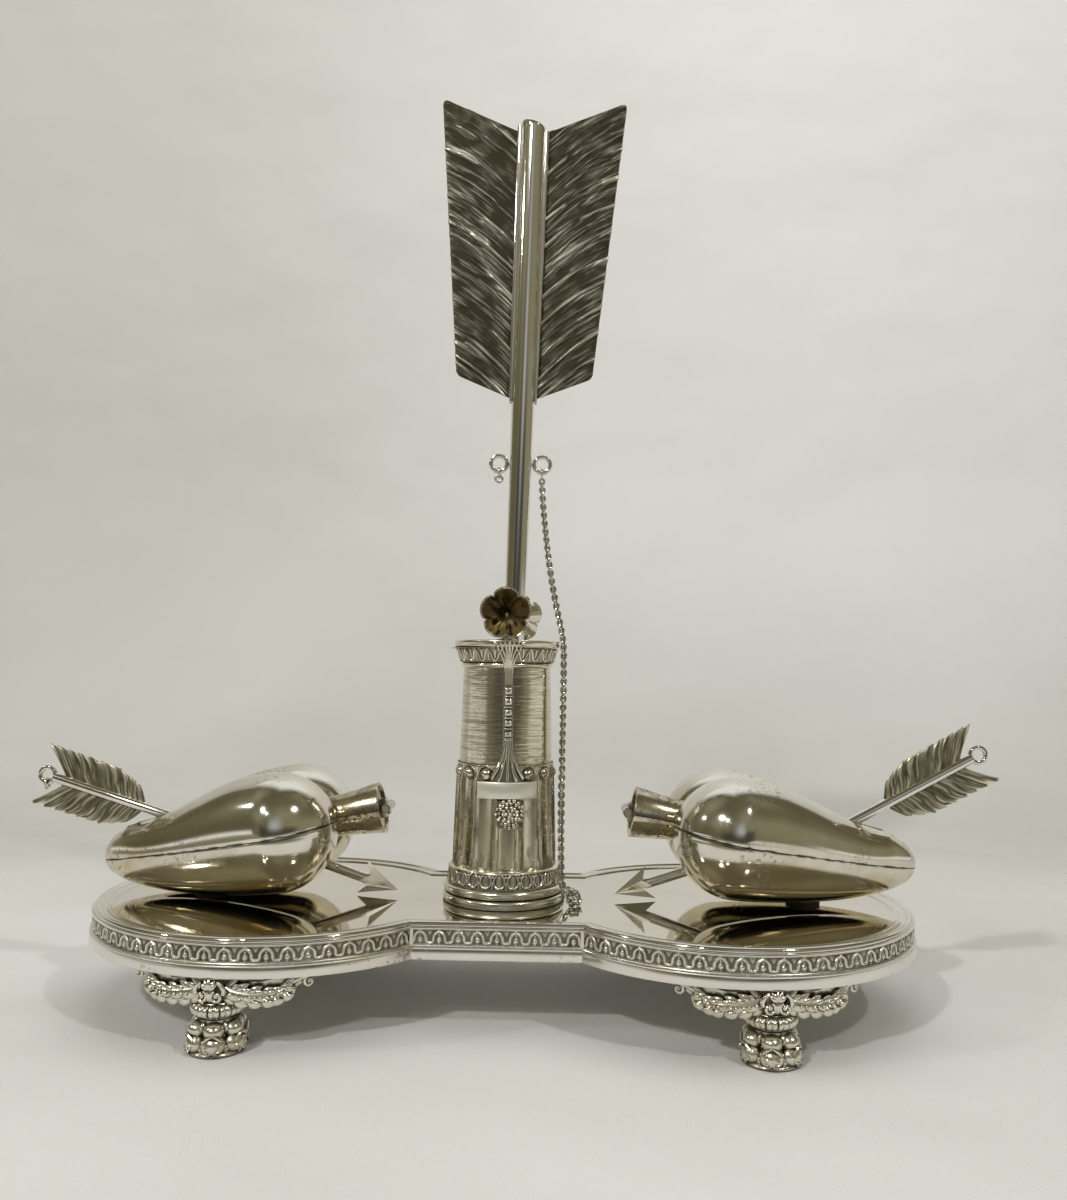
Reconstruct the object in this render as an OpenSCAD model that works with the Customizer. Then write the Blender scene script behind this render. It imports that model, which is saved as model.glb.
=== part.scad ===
// Silver desk inkstand: a two-lobed platform on four paw feet carries a quiver with one large
// arrow and two hinged heart boxes, each pierced by a small arrow.
// Millimetres, +Z up, origin on the table under the quiver's axis, +X along the platform.

/* [Platform] */
// Radius of each round end
lobe_r = 54.6; // [48:0.1:60]
// Distance from the middle to each round end's centre
lobe_x = 65.4; // [58:0.1:75]
// Width of the straight bar between the round ends
bar_w = 69.4; // [50:0.1:80]
// Height of the platform's underside
under_z = 19.3; // [16:0.1:26]
// Height of the plain band round the foot of the platform
flange_h = 3.1; // [2:0.1:5]
// How far the plain band stands out
flange_out = 0.7; // [0.2:0.1:1.2]
// Height of the ornamented strips
frieze_h = 4.8; // [4:0.1:8]
// Thickness of the ornamented strips
frieze_t = 1.6; // [1.2:0.1:2.4]
// Thickness of the sheets
sheet_t = 0.9; // [0.7:0.1:1.2]
// Width of the moulded border on the platform
border_w = 5.2; // [4:0.1:8]
// Height of the moulded border over the plate
border_h = 0.7; // [0.4:0.1:1.2]

/* [Feet] */
// Radius of the pad
pad_r = 8.3; // [7:0.1:10]
// Height of the pad
pad_h = 8.2; // [7:0.1:9]
// Radius of the beaded collar
collar_r = 6.9; // [6:0.1:8]
// Distance of each foot's middle inside the round end's edge
foot_inset = 5.7; // [5.2:0.1:10]
// Turn of each foot round that centre, from straight ahead towards the outer end
foot_turn = 5.4; // [0:0.1:20]
// Reach of the scroll wings to each side
wing_span = 24; // [20:0.5:27]

/* [Quiver] */
// Radius at the foot moulding
quiver_foot_r = 18.2; // [17.6:0.1:20]
// Radius of the body at its bottom
body_r = 15.3; // [14.6:0.1:16]
// Radius of the body at the step over the flutes
step_r = 14.3; // [13.8:0.1:14.6]
// Radius of the body under the capital
neck_r = 13.3; // [12.8:0.1:13.6]
// Height of the foot moulding
quiver_foot_h = 10.6; // [9:0.1:12]
// Height of the step over the flutes
step_z = 69; // [62:0.5:74]
// Height of the top of the body
body_top = 97.4; // [92:0.1:110]
// Height of the capital
capital_h = 8.2; // [7:0.1:10]
// Radius of the abacus
abacus_r = 16; // [15.4:0.1:16.1]
// Inside radius of the body
bore_r = 11.6; // [9:0.1:12]
// Number of flutes
flutes = 14; // [10:1:16]
// Turn of the front ornament towards the right
front_turn = 5; // [0:1:12]
// Radius of a flower cup
cup_r = 7.7; // [6:0.1:8]
// Depth of a flower cup
cup_depth = 7; // [6:0.1:9]
// Height of the flower cups' centres over the capital
cup_rise = 7.9; // [7.8:0.1:10]

/* [Tall arrow] */
// Lean of the arrow towards the right
arrow_lean = 1.4; // [0:0.1:2]
// Radius of the shaft inside the quiver
shaft_r = 3.2; // [3:0.1:3.6]
// Radius of the shaft at the top
shaft_top_r = 4; // [3.6:0.1:4.4]
// Height of the top of the shaft
arrow_top = 271; // [240:1:300]
// Clearance of the shaft in its socket
slide_fit = 0.06; // [0.02:0.01:0.1]
// Length of the vanes along the shaft
vane_len = 86; // [70:1:95]
// Reach of the vanes at their lower corner
vane_low_w = 21.4; // [18:0.1:24]
// Reach of the vanes at their upper corner
vane_top_w = 29.8; // [25:0.1:32]
// Rise of each barb from the shaft to the edge, per millimetre outwards
barb_rise = 0.45; // [0.3:0.01:0.6]
// Swing of the barbs' S-curve
barb_swing = 1.6; // [0.5:0.1:2]
// Number of barbs on each vane
barbs = 13; // [8:1:16]
// Distance of the eye rings below the vanes
ring_drop = 19.9; // [16:0.1:24]
// Mean radius of the eye rings
ring_r = 2.5; // [2.4:0.1:3]
// Wire radius of the eye rings
ring_wire = 0.7; // [0.5:0.05:0.75]

/* [Hearts] */
// Distance of the left hinge from the middle
left_hinge_x = 35.6; // [34:0.1:38]
// Distance of the right hinge from the middle
right_hinge_x = 37; // [36:0.1:40]
// Height of both hinges
hinge_z = 54.7; // [53:0.1:57]
// Slope of the left parting line down towards the tip
left_tilt = 11.4; // [8:0.1:13]
// Slope of the right parting line down towards the tip
right_tilt = 10.2; // [8:0.1:13]
// Length of a heart from its tip to the ends of its lobes
heart_len = 75; // [68:0.5:76]
// Distance of a lobe's centre from the ends of the lobes
lobe_end = 18; // [15:0.5:20]
// Half the distance between the lobes' centres
lobe_gap = 13.5; // [12:0.1:15]
// Half-width of one lobe
lobe_half = 16; // [14.5:0.1:17]
// Height of the lid
lid_h = 17.2; // [15:0.1:19]
// Height of the lid near its tip
lid_tip_h = 8.7; // [7:0.1:10]
// Length over which the lid rises at its tip
tip_round = 10; // [8:0.5:12]
// Depth of the bowl
bowl_h = 17.4; // [16:0.1:19]
// Wall of the hearts
wall = 1.1; // [0.8:0.1:1.6]
// Gap between lid and bowl
parting = 0.2; // [0.1:0.05:0.4]

/* [Necks and hinges] */
// Length of the neck from its end to the lobes
neck_len = 11.5; // [9:0.1:14]
// Radius of the neck at its end
neck_end_r = 7.7; // [7:0.1:8.4]
// Radius of the neck at the heart
neck_root_r = 6.2; // [5.6:0.1:6.8]
// Radius of the hinge knuckles
knuckle_r = 1.4; // [1.2:0.05:1.6]
// Radius of the hinge pin
pin_r = 0.6; // [0.5:0.05:0.7]
// Running clearance of the pin in the lid's knuckle
pin_fit = 0.06; // [0.02:0.01:0.1]
// Half the length of the hinge
hinge_half = 5; // [4:0.1:6]

/* [Small arrows] */
// Radius of the small shafts
dart_r = 1.55; // [1.3:0.05:1.7]
// Slope of the arrowheads' shafts
head_slope = 18.5; // [17:0.1:20]
// Length of an arrowhead
head_len = 11.5; // [9:0.1:13]
// Reach of an arrowhead's barbs
head_w = 5; // [4:0.1:5.2]
// Slope of the left tail
left_tail_slope = 17; // [14:0.5:28]
// Slope of the right tail
right_tail_slope = 28.5; // [14:0.5:30]
// Length of the left tail from the lid to its ring
left_tail_len = 39; // [36:0.5:42]
// Length of the right tail from the lid to its ring
right_tail_len = 43; // [38:0.5:46]
// Length of the small vanes
dart_vane_len = 29; // [24:0.5:30]
// Reach of the small vanes at the nock
dart_vane_w = 9; // [7:0.1:10]

/* [Liners] */
// Radius of a glass liner
liner_r = 10.5; // [8:0.1:11]
// Wall of a glass liner
liner_wall = 1.2; // [1:0.1:1.6]

/* [Chain] */
// Half the width of the chain
chain_r = 1.1; // [0.8:0.05:1.1]

/* [Hidden] */
$fn = 64;
silver = "silver";
gilt = "goldenrod";
flange_top = under_z + flange_h;
frieze_top = flange_top + frieze_h;
plate_z = frieze_top + sheet_t;
// the bar meets each round end where its edge crosses the circle
corner_x = lobe_x - sqrt(lobe_r * lobe_r - bar_w * bar_w / 4);
floor_z = under_z + sheet_t;
foot_reach = lobe_r - foot_inset;
stud_r = 1.5;
nut_r = 3.2;
nut_h = 2;
seat_fit = 0.05;

quiver_body_z = plate_z + quiver_foot_h;
step_in = 0.3;
capital_top = body_top + capital_h;
socket_t = 1;
socket_z = plate_z + 6;
shaft_z = socket_z + socket_t + 0.3;
vane_z = arrow_top - vane_len - 4.5;
vane_t = 1.1;
ring_z = vane_z - ring_drop;
ring_out = ring_r + ring_wire;

neck_face = knuckle_r + 0.3;
lobes_x = neck_face + neck_len;
tip_x = lobes_x + heart_len;
lobe_u = heart_len - lobe_end;
rise_start = 11;
rise_short = 5;
seat_h = 1;
seat_r = 5;
seat_x = 53;
liner_x = lobes_x + 30.5;
liner_bottom = -8.4;
liner_top = -0.6;
dart_eye_r = 2.3;
dart_eye_wire = 0.75;
link_r = 1.5;
link_wire = 0.4;
link_slack = 0.1;
pierce_len = 33;
head_tip_in = 3.5;
head_tip_over = 1.6;
tail_from = 67.5;
tail_sunk = 2.2;

// points of the chain from the arrow's ring to its loose end on the plate
chain_route = [
    [9.9, 0, 155.6], [10.4, 0, 148], [11.2, -0.2, 140], [12.2, -0.4, 132], [13.4, -0.6, 124],
    [15, -1, 116], [16.6, -1.6, 109], [17.3, -2.2, 103.5], [17.4, -2.8, 97.5],
    [17.4, -3.4, 91.5], [17.3, -4, 85.5], [17.3, -4.6, 79.5], [17.2, -5.2, 73.5],
    [17.2, -5.8, 67.5], [17.1, -6.4, 61.5], [17.1, -7, 55.5], [17.1, -7.6, 49.5],
    [17.2, -8.3, 43.5], [17.3, -8.9, 38.5], [17.6, -9.4, 34.2], [18.6, -10, 30.8],
    [20.6, -10.4, 29.4], [22.6, -9.2, 29.3], [22.4, -6.8, 30.4], [20.8, -5.8, 31.8],
    [20.4, -3.6, 30.4], [20.9, -0.8, 29.3], [20.9, 2.4, 29.3], [20.4, 5.6, 29.3],
    [19.2, 8.6, 29.3]];

// ---------- shared shapes ----------

module platform_plan(inset) {
    for (side = [-1, 1]) translate([side * lobe_x, 0]) circle(r = lobe_r - inset, $fn = 180);
    square([2 * lobe_x, bar_w - 2 * inset], center = true);
}

module slab(z0, z1, inset) {
    translate([0, 0, z0]) linear_extrude(z1 - z0) platform_plan(inset);
}

module slab_ring(z0, z1, outer, inner) {
    difference() {
        slab(z0, z1, outer);
        slab(z0 - 1, z1 + 1, inner);
    }
}

module nut(z) {
    translate([0, 0, z]) difference() {
        cylinder(r = nut_r, h = nut_h, $fn = 6);
        translate([0, 0, -1]) cylinder(r = stud_r + seat_fit, h = nut_h + 2);
    }
}

module torus(mean, wire) {
    rotate_extrude() translate([mean, 0]) circle(r = wire, $fn = 32);
}

// stands a ring drawn flat up into the XZ plane
module upright() { rotate([90, 0, 0]) children(); }

// ---------- platform ----------

module foot_spot(side, front) {
    translate([side * lobe_x, 0, 0]) mirror([side < 0 ? 1 : 0, 0, 0])
        mirror([0, front ? 0 : 1, 0]) rotate([0, 0, foot_turn]) children();
}

module heart_seats_at() {
    translate([-left_hinge_x - seat_x, 0, 0]) children();
    translate([right_hinge_x + seat_x, 0, 0]) children();
}

module base_tray() {
    color(silver) difference() {
        union() {
            slab(under_z, floor_z, -flange_out);
            slab_ring(floor_z, flange_top, -flange_out, frieze_t);
        }
        for (side = [-1, 1], front = [true, false]) foot_spot(side, front)
            translate([0, -foot_reach, under_z - 1]) cylinder(r = stud_r + seat_fit, h = 4);
    }
}

module frieze_section() {
    fillet = 0.6;
    proud = 0.35;
    slab_ring(flange_top, flange_top + fillet, 0, frieze_t);
    slab_ring(flange_top + fillet, frieze_top - fillet, proud, frieze_t);
    slab_ring(frieze_top - fillet, frieze_top, 0, frieze_t);
}

module frieze_end() {
    color(silver) intersection() {
        frieze_section();
        translate([-corner_x - 200, -100, 0]) cube([200, 200, 60]);
    }
}

module frieze_bar() {
    color(silver) intersection() {
        frieze_section();
        translate([seat_fit - corner_x, -100, 0]) cube([2 * (corner_x - seat_fit), 100, 60]);
    }
}

module top_plate() {
    color(silver) difference() {
        slab(frieze_top, plate_z, 0.2);
        heart_seats_at() translate([0, 0, frieze_top - 1]) cylinder(r = stud_r + seat_fit, h = 4);
        translate([0, 0, frieze_top - 1]) cylinder(r = stud_r + seat_fit, h = 4);
    }
}

// a step and a bead that follow the platform's edge
module plate_border() {
    step_w = border_w * 0.55;
    color(silver) {
        slab_ring(plate_z, plate_z + border_h * 0.45, 0.6, border_w);
        slab_ring(plate_z + border_h * 0.45, plate_z + border_h, step_w, border_w);
    }
}

// ---------- feet ----------

// one foot, in front of the round end's centre
module foot() {
    lobes = 6;
    lobe_ball = 3.5;
    top_ball = 2.7;
    neck_top = pad_h + 1;
    collar_h = 3.4;
    collar_top = neck_top + collar_h;
    beads = 12;
    bead_r = 1.5;
    wing_t = 3.2;
    volute_r = 1.5;
    color(silver) {
        translate([0, -foot_reach, 0]) {
            cylinder(r = pad_r, h = 1.3);
            cylinder(r = pad_r - 3.2, h = pad_h);
            for (i = [0 : lobes - 1]) rotate([0, 0, 30 + i * 360 / lobes]) {
                translate([pad_r - lobe_ball - 0.2, 0, lobe_ball + 0.1])
                    sphere(r = lobe_ball, $fn = 32);
                translate([pad_r - top_ball - 1.8, 0, pad_h - top_ball + 0.2])
                    sphere(r = top_ball, $fn = 32);
            }
            translate([0, 0, pad_h - 0.2]) cylinder(r = collar_r - 2.4, h = 1.4);
            translate([0, 0, neck_top]) rotate_extrude() polygon([
                [0, 0], [collar_r - 1.8, 0], [collar_r - 0.9, collar_h / 2],
                [collar_r - 1.6, collar_h], [0, collar_h]]);
            for (i = [0 : beads - 1]) rotate([0, 0, (i + 0.5) * 360 / beads])
                translate([collar_r - bead_r, 0, neck_top + collar_h / 2])
                    sphere(r = bead_r, $fn = 24);
            translate([0, 0, collar_top]) rotate_extrude() polygon([
                [0, 0], [collar_r - 1.7, 0], [collar_r - 2.6, 1.2], [collar_r - 2.2, 3],
                [collar_r - 0.6, under_z - collar_top], [0, under_z - collar_top]]);
            for (side = [-1, 1]) translate([side * 2.3, -collar_r + 0.9, collar_top + 1.6])
                rotate([-90, 0, 0]) cylinder(r = volute_r, h = 4);
            translate([0, 0, under_z - 0.5])
                cylinder(r = stud_r, h = floor_z - under_z + 0.5 + nut_h + 0.6);
        }
        foot_wings(collar_top, wing_t);
    }
}

// acanthus wings that follow the round end's edge on both sides of a foot
module foot_wings(low, thick) {
    s = wing_span / 24;
    rim = foot_reach + 3.4;
    for (side = [-1, 1]) intersection() {
        difference() {
            cylinder(r = rim, h = under_z, $fn = 120);
            translate([0, 0, -1]) cylinder(r = rim - thick, h = under_z + 2, $fn = 120);
        }
        translate([0, -20, 0]) rotate([90, 0, 0]) linear_extrude(60) scale_x(side) {
            translate([4, low + 2.4]) square([16 * s, under_z - low - 2.4]);
            translate([7.4, low + 3.4]) circle(r = 2.9, $fn = 24);
            translate([11.5 * s, low + 2.2]) circle(r = 3.3, $fn = 24);
            translate([16 * s, low + 3]) circle(r = 2.9, $fn = 24);
            translate([19.6 * s, low + 4.1]) circle(r = 2.2, $fn = 24);
            translate([22.6 * s, low + 5.1]) circle(r = 1.5, $fn = 24);
        }
    }
}

module scale_x(side) { mirror([side < 0 ? 1 : 0, 0, 0]) children(); }

module foot_nuts() {
    color("darkgray") for (side = [-1, 1], front = [true, false]) foot_spot(side, front)
        translate([0, -foot_reach, 0]) nut(floor_z);
}

module plate_nuts() {
    color("darkgray") {
        heart_seats_at() nut(frieze_top - nut_h);
        nut(frieze_top - nut_h);
    }
}

// ---------- quiver ----------

module quiver_foot() {
    r = quiver_foot_r;
    h = quiver_foot_h;
    color(silver) translate([0, 0, plate_z]) difference() {
        rotate_extrude($fn = 96) polygon([
            [0, 0], [r, 0], [r, 1.4], [r - 0.7, 2], [r - 1.3, 3.6], [r - 0.5, 4.3],
            [r - 0.5, 5], [r - 1, 5.6], [r - 1.3, h - 1.6], [r - 0.9, h - 1.2],
            [r - 0.9, h - 0.5], [r - 1.4, h], [0, h]]);
        translate([0, 0, 2]) cylinder(r = bore_r, h = h);
        translate([0, 0, -1]) cylinder(r = stud_r + seat_fit, h = 4);
    }
}

// radius of the fluted part and of the drum over it
function fluted_radius(z) =
    body_r + (step_r - body_r) * (z - quiver_body_z) / (step_z - quiver_body_z);
function drum_radius(z) =
    step_r - step_in + (neck_r - step_r + step_in) * (z - step_z) / (body_top - step_z);

// round-headed flutes with a ball in each head, under a plain drum
module quiver_body() {
    low = quiver_body_z;
    pitch = 360 / flutes;
    cut_r = 2.4;
    head_z = step_z - cut_r - 0.2;
    color(silver) difference() {
        union() {
            difference() {
                translate([0, 0, low])
                    cylinder(r1 = body_r, r2 = step_r, h = step_z - low, $fn = 96);
                for (i = [0 : flutes - 1]) rotate([0, 0, i * pitch - 90 + front_turn]) {
                    translate([body_r + 1.3, 0, low + 2]) cylinder(r = cut_r, h = head_z - low - 2);
                    translate([body_r + 1.3, 0, head_z]) sphere(r = cut_r, $fn = 32);
                }
            }
            translate([0, 0, step_z])
                cylinder(r1 = step_r - step_in, r2 = neck_r, h = body_top - step_z, $fn = 96);
            for (i = [1 : flutes - 1]) rotate([0, 0, i * pitch - 90 + front_turn])
                translate([fluted_radius(head_z) - 0.6, 0, head_z]) sphere(r = 1.6, $fn = 32);
        }
        translate([0, 0, low - 1]) cylinder(r = bore_r, h = body_top - low + 2);
    }
}

module quiver_capital() {
    r = abacus_r;
    h = capital_h;
    color(silver) translate([0, 0, body_top]) difference() {
        rotate_extrude($fn = 96) polygon([
            [0, 0], [neck_r, 0], [neck_r + 0.5, 0.5], [neck_r + 0.5, 1.3], [neck_r, 1.8],
            [neck_r + 0.9, 2.6], [neck_r + 1.4, 4], [r - 0.8, 5.2], [r - 0.4, 5.8],
            [r - 0.1, 6], [r, h], [0, h]]);
        translate([0, 0, -1]) cylinder(r = bore_r, h = h - 0.5);
        lean_hole();
    }
}

// clears the leaning socket through the capital
module lean_hole() {
    translate([(capital_top - plate_z) * tan(arrow_lean), 0, -1])
        cylinder(r = shaft_r + slide_fit + socket_t + 0.3, h = 20);
}

// a shell round the body between two heights and radii, cut to the outline in front view
module front_shell(z0, r0, z1, r1, out) {
    grow = (r1 - r0) / (z1 - z0);
    rotate([0, 0, front_turn]) intersection() {
        difference() {
            translate([0, 0, z0])
                cylinder(r1 = r0 + out, r2 = r1 + out, h = z1 - z0, $fn = 96);
            translate([0, 0, z0 - 1])
                cylinder(r1 = r0 - grow, r2 = r1 + grow, h = z1 - z0 + 2, $fn = 96);
        }
        rotate([90, 0, 0]) linear_extrude(30) children();
    }
}

// fan of five leaves laid over the capital
module quiver_palmette() {
    low = body_top - 4.4;
    top = capital_top;
    front_y = abacus_r + 0.1;
    color(silver) rotate([0, 0, front_turn]) {
        translate([0, -front_y, 0]) rotate([90, 0, 0]) linear_extrude(1) {
            polygon([[-1.2, low], [1.2, low], [2, body_top + 2], [5.4, top - 1.4],
                [4.4, top - 0.4], [2.2, top - 2.2], [0.9, top], [-0.9, top],
                [-2.2, top - 2.2], [-4.4, top - 0.4], [-5.4, top - 1.4], [-2, body_top + 2]]);
        }
        translate([-1.2, -front_y, low])
            cube([2.4, front_y - drum_radius(low) - seat_fit, 1.6]);
    }
}

// narrow strap with square studs over a spreading leaf
module quiver_strap() {
    leaf_top = 76.5;
    leaf_low = 65;
    top = body_top - 4.6;
    studs = 5;
    pitch = (top - leaf_top) / studs;
    color(silver) {
        on_drum(step_z, top, 0.7) translate([-1.5, leaf_top]) square([3, top - leaf_top]);
        for (i = [0 : studs - 1]) on_drum(leaf_top, top, 1.4)
            translate([-1.2, leaf_top + i * pitch + 0.5]) square([2.4, pitch - 1]);
        on_drum(step_z, top, 0.9)
            polygon([[-1.4, leaf_top], [1.4, leaf_top], [2.4, step_z + 3], [3.2, step_z],
                [-3.2, step_z], [-2.4, step_z + 3]]);
        front_shell(leaf_low, fluted_radius(leaf_low), step_z, step_r, 0.9)
            polygon([[-3.2, step_z], [3.2, step_z], [4.4, leaf_low], [-4.4, leaf_low]]);
    }
}

module on_drum(z0, z1, out) {
    front_shell(z0, drum_radius(z0), z1, drum_radius(z1), out) children();
}

module label_bar() {
    low = 59.4;
    high = 64.3;
    half_angle = 34;
    color(silver) rotate([0, 0, front_turn - 90 - half_angle])
        translate([0, 0, low]) rotate_extrude(angle = 2 * half_angle, $fn = 96)
            translate([fluted_radius(low) + seat_fit, 0]) square([1.2, high - low]);
}

module rosette() {
    z = 55.2;
    disc_r = 3.4;
    petal_r = 1.15;
    petals = 8;
    color(silver) rotate([0, 0, front_turn + 4])
        translate([0, -fluted_radius(z - disc_r) - seat_fit, z]) rotate([90, 0, 0]) {
            cylinder(r = disc_r, h = 0.8);
            for (i = [0 : petals - 1]) rotate([0, 0, i * 360 / petals])
                translate([2.7, 0, petal_r]) sphere(r = petal_r, $fn = 24);
            translate([0, 0, petal_r + 0.2]) sphere(r = petal_r, $fn = 24);
        }
}

// leans an item that is drawn along +Z about the middle of the plate
module lean() { translate([0, 0, plate_z]) rotate([0, arrow_lean, 0])
    translate([0, 0, -plate_z]) children(); }

module arrow_socket() {
    color(silver) lean() difference() {
        translate([0, 0, socket_z])
            cylinder(r = shaft_r + slide_fit + socket_t, h = capital_top - socket_z - 0.6);
        translate([0, 0, socket_z + socket_t])
            cylinder(r = shaft_r + slide_fit, h = capital_top);
    }
}

// rod that draws the quiver down onto the plate, with a flange under the socket
module quiver_stud() {
    low = frieze_top - nut_h - 0.6;
    color("darkgray") {
        translate([0, 0, low]) cylinder(r = stud_r, h = socket_z - 0.5 - low);
        translate([0, 0, plate_z + 2]) cylinder(r = 4, h = socket_z - plate_z - 2.5);
    }
}

// ---------- flower cups ----------

cup_around = 40;
cup_rings = 5;
function petal(a) = 0.84 + 0.16 * pow(abs(sin(2.5 * a)), 0.7);
function cup_point(a, s, shrink) =
    let (open = pow(s, 1.6),
         r = 1.7 + (cup_r - 1.7) * pow(s, 0.8) * (1 - open + open * petal(a)) - shrink)
    [r * sin(a), -r * cos(a), cup_depth * pow(s, 1.25) + (s < 0.01 ? shrink * 1.2 : 0)];

module flower_cup() {
    n = cup_around;
    m = cup_rings;
    outer = [for (j = [0 : m]) for (i = [0 : n - 1]) cup_point(i * 360 / n, j / m, 0)];
    inner = [for (j = [0 : m]) for (i = [0 : n - 1]) cup_point(i * 360 / n, j / m, 0.7)];
    base = len(outer);
    ends = len(outer) + len(inner);
    polyhedron(
        points = concat(outer, inner, [[0, 0, 0], [0, 0, 0.84]]),
        faces = concat(
            [for (j = [0 : m - 1]) for (i = [0 : n - 1]) let (k = (i + 1) % n)
                [j * n + i, (j + 1) * n + i, (j + 1) * n + k, j * n + k]],
            [for (j = [0 : m - 1]) for (i = [0 : n - 1]) let (k = (i + 1) % n)
                [base + j * n + i, base + j * n + k, base + (j + 1) * n + k,
                    base + (j + 1) * n + i]],
            [for (i = [0 : n - 1]) let (k = (i + 1) % n)
                [m * n + i, base + m * n + i, base + m * n + k, m * n + k]],
            [for (i = [0 : n - 1]) let (k = (i + 1) % n) [ends, i, k]],
            [for (i = [0 : n - 1]) let (k = (i + 1) % n) [ends + 1, base + k, base + i]]));
}

// a cup that faces away from the arrow, on a stalk from the capital
module flower() {
    back = 6.6;
    stalk_r = 1.1;
    rise = cup_rise;
    color(gilt) translate([0, -back, capital_top + rise]) rotate([90, 0, 0]) flower_cup();
    color(silver) translate([0, -back, capital_top])
        cylinder(r = stalk_r, h = rise - 0.6);
}

// ---------- tall arrow ----------

module arrow_shaft() {
    round_z = capital_top + 1.5;
    color(silver) lean() {
        translate([0, 0, shaft_z]) cylinder(r = shaft_r, h = round_z - shaft_z);
        translate([0, 0, round_z])
            cylinder(r1 = shaft_r, r2 = shaft_top_r, h = arrow_top - round_z);
    }
}

function vane_reach(z) = vane_low_w
    + (vane_top_w - vane_low_w) * (z - vane_z - 9) / (vane_len + 2);
function barb_z(i, t) = let (z0 = vane_z + i * vane_len / barbs, w = vane_reach(z0 + 9) - 4)
    z0 + barb_rise * w * t + barb_swing * sin(180 * i / barbs) * sin(360 * t);
function barb_x(i, t) = let (z0 = vane_z + i * vane_len / barbs)
    2 + (vane_reach(z0 + 9) - 2) * t;

// barbs of alternate thickness, each bounded by two of the same S-shaped curves
module arrow_vane(side) {
    steps = 8;
    color(silver) lean() difference() {
        scale_x(side) rotate([90, 0, 0]) for (i = [0 : barbs - 1]) {
            thick = vane_t + (i % 2) * 0.5;
            edge = 0.5 * (i % 3);
            translate([0, 0, -thick / 2]) linear_extrude(thick) polygon(concat(
                [for (k = [0 : steps]) let (t = k / steps)
                    [barb_x(i, t) - (k == steps ? edge : 0), barb_z(i, t)]],
                [for (k = [steps : -1 : 0]) let (t = k / steps)
                    [barb_x(i + 1, t), barb_z(i + 1, t)]]));
        }
        translate([0, 0, vane_z - 20]) cylinder(r = shaft_top_r + seat_fit, h = vane_len + 60);
    }
}

function shaft_radius(z) = let (z0 = capital_top + 1.5)
    shaft_r + (shaft_top_r - shaft_r) * (z - z0) / (arrow_top - z0);
ring_off = shaft_radius(ring_z) + 0.05 + ring_out;

module arrow_ring(side) {
    color(silver) lean() translate([side * ring_off, 0, ring_z]) upright()
        torus(ring_r, ring_wire);
}

// last link of a broken chain, hung on the wire of a ring that stands in the XZ plane
module hung_link(mean, wire) {
    top = wire + link_wire + link_slack;
    translate([0, 0, -mean + top - link_r]) {
        rotate([0, 90, 0]) torus(link_r, link_wire);
        children();
    }
}

module arrow_link() {
    stub_r = 1.1;
    color(silver) translate([lean_x(-ring_off, ring_z), 0, lean_z(-ring_off, ring_z)])
        hung_link(ring_r, ring_wire)
            translate([0, 0, 2 * link_wire - link_r - stub_r - 0.1])
                upright() torus(stub_r, link_wire);
}

function lean_x(x, z) = x * cos(arrow_lean) + (z - plate_z) * sin(arrow_lean);
function lean_z(x, z) = plate_z - x * sin(arrow_lean) + (z - plate_z) * cos(arrow_lean);

module chain_link() {
    color(silver) translate([lean_x(ring_off, ring_z), 0, lean_z(ring_off, ring_z)])
        hung_link(ring_r, ring_wire);
}

// a tube swept along the route, square to it at each point
module chain() {
    sides = 8;
    p = chain_route;
    last = len(p) - 1;
    function unit(v) = v / norm(v);
    function way(i) = unit(p[min(i + 1, last)] - p[max(i - 1, 0)]);
    function across(d) = unit(cross(d, abs(d[1]) < 0.9 ? [0, 1, 0] : [1, 0, 0]));
    color(silver) polyhedron(
        points = [for (i = [0 : last]) let (d = way(i), a = across(d), b = cross(d, a))
            for (k = [0 : sides - 1]) let (t = k * 360 / sides)
                p[i] + chain_r * (a * cos(t) + b * sin(t))],
        faces = concat(
            [for (i = [0 : last - 1]) for (k = [0 : sides - 1]) let (n = (k + 1) % sides)
                [i * sides + k, i * sides + n, (i + 1) * sides + n, (i + 1) * sides + k]],
            [[for (k = [sides - 1 : -1 : 0]) k]],
            [[for (k = [0 : sides - 1]) last * sides + k]]));
}

// ---------- hearts ----------

// the frame of a heart: origin on the hinge, +X along the parting line to the tip
module heart_frame(side) {
    scale_x(side) translate([hinge_x(side), 0, hinge_z]) rotate([0, tilt(side), 0]) children();
}

function hinge_x(side) = side < 0 ? left_hinge_x : right_hinge_x;
function tilt(side) = side < 0 ? left_tilt : right_tilt;
function tail_len(side) = side < 0 ? left_tail_len : right_tail_len;
function tail_slope(side) = side < 0 ? left_tail_slope : right_tail_slope;

function smooth(t) = let (c = max(0, min(1, t))) c * c * (3 - 2 * c);
// share of the lobe's full section at a distance u from the tip
function end_share(u) = u <= lobe_u ? 1 : sqrt(max(0, 1 - pow((u - lobe_u) / lobe_end, 2)));
function tip_share(u, p, q) = pow(max(0, 1 - pow(max(0, 1 - u / lobe_u), p)), q);
function lobe_v(u) = lobe_gap * pow(min(1, max(0, u) / lobe_u), 1.1);
function lobe_b(u) = lobe_half * tip_share(u, 1.6, 0.6) * end_share(u);
function lid_rise(u) = (lid_tip_h * pow(min(1, max(0, u) / tip_round), 0.45)
    + (lid_h - lid_tip_h) * smooth((u - rise_start) / (lobe_u - rise_start - rise_short)))
    * end_share(u);
function bowl_drop(u) = bowl_h * tip_share(u, 1.5, 0.5) * end_share(u);
function dome(u, v) = let (b = lobe_b(u)) b <= 0.01 ? -1
    : 1 - pow((abs(v) - lobe_v(u)) / b, 2);

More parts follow.
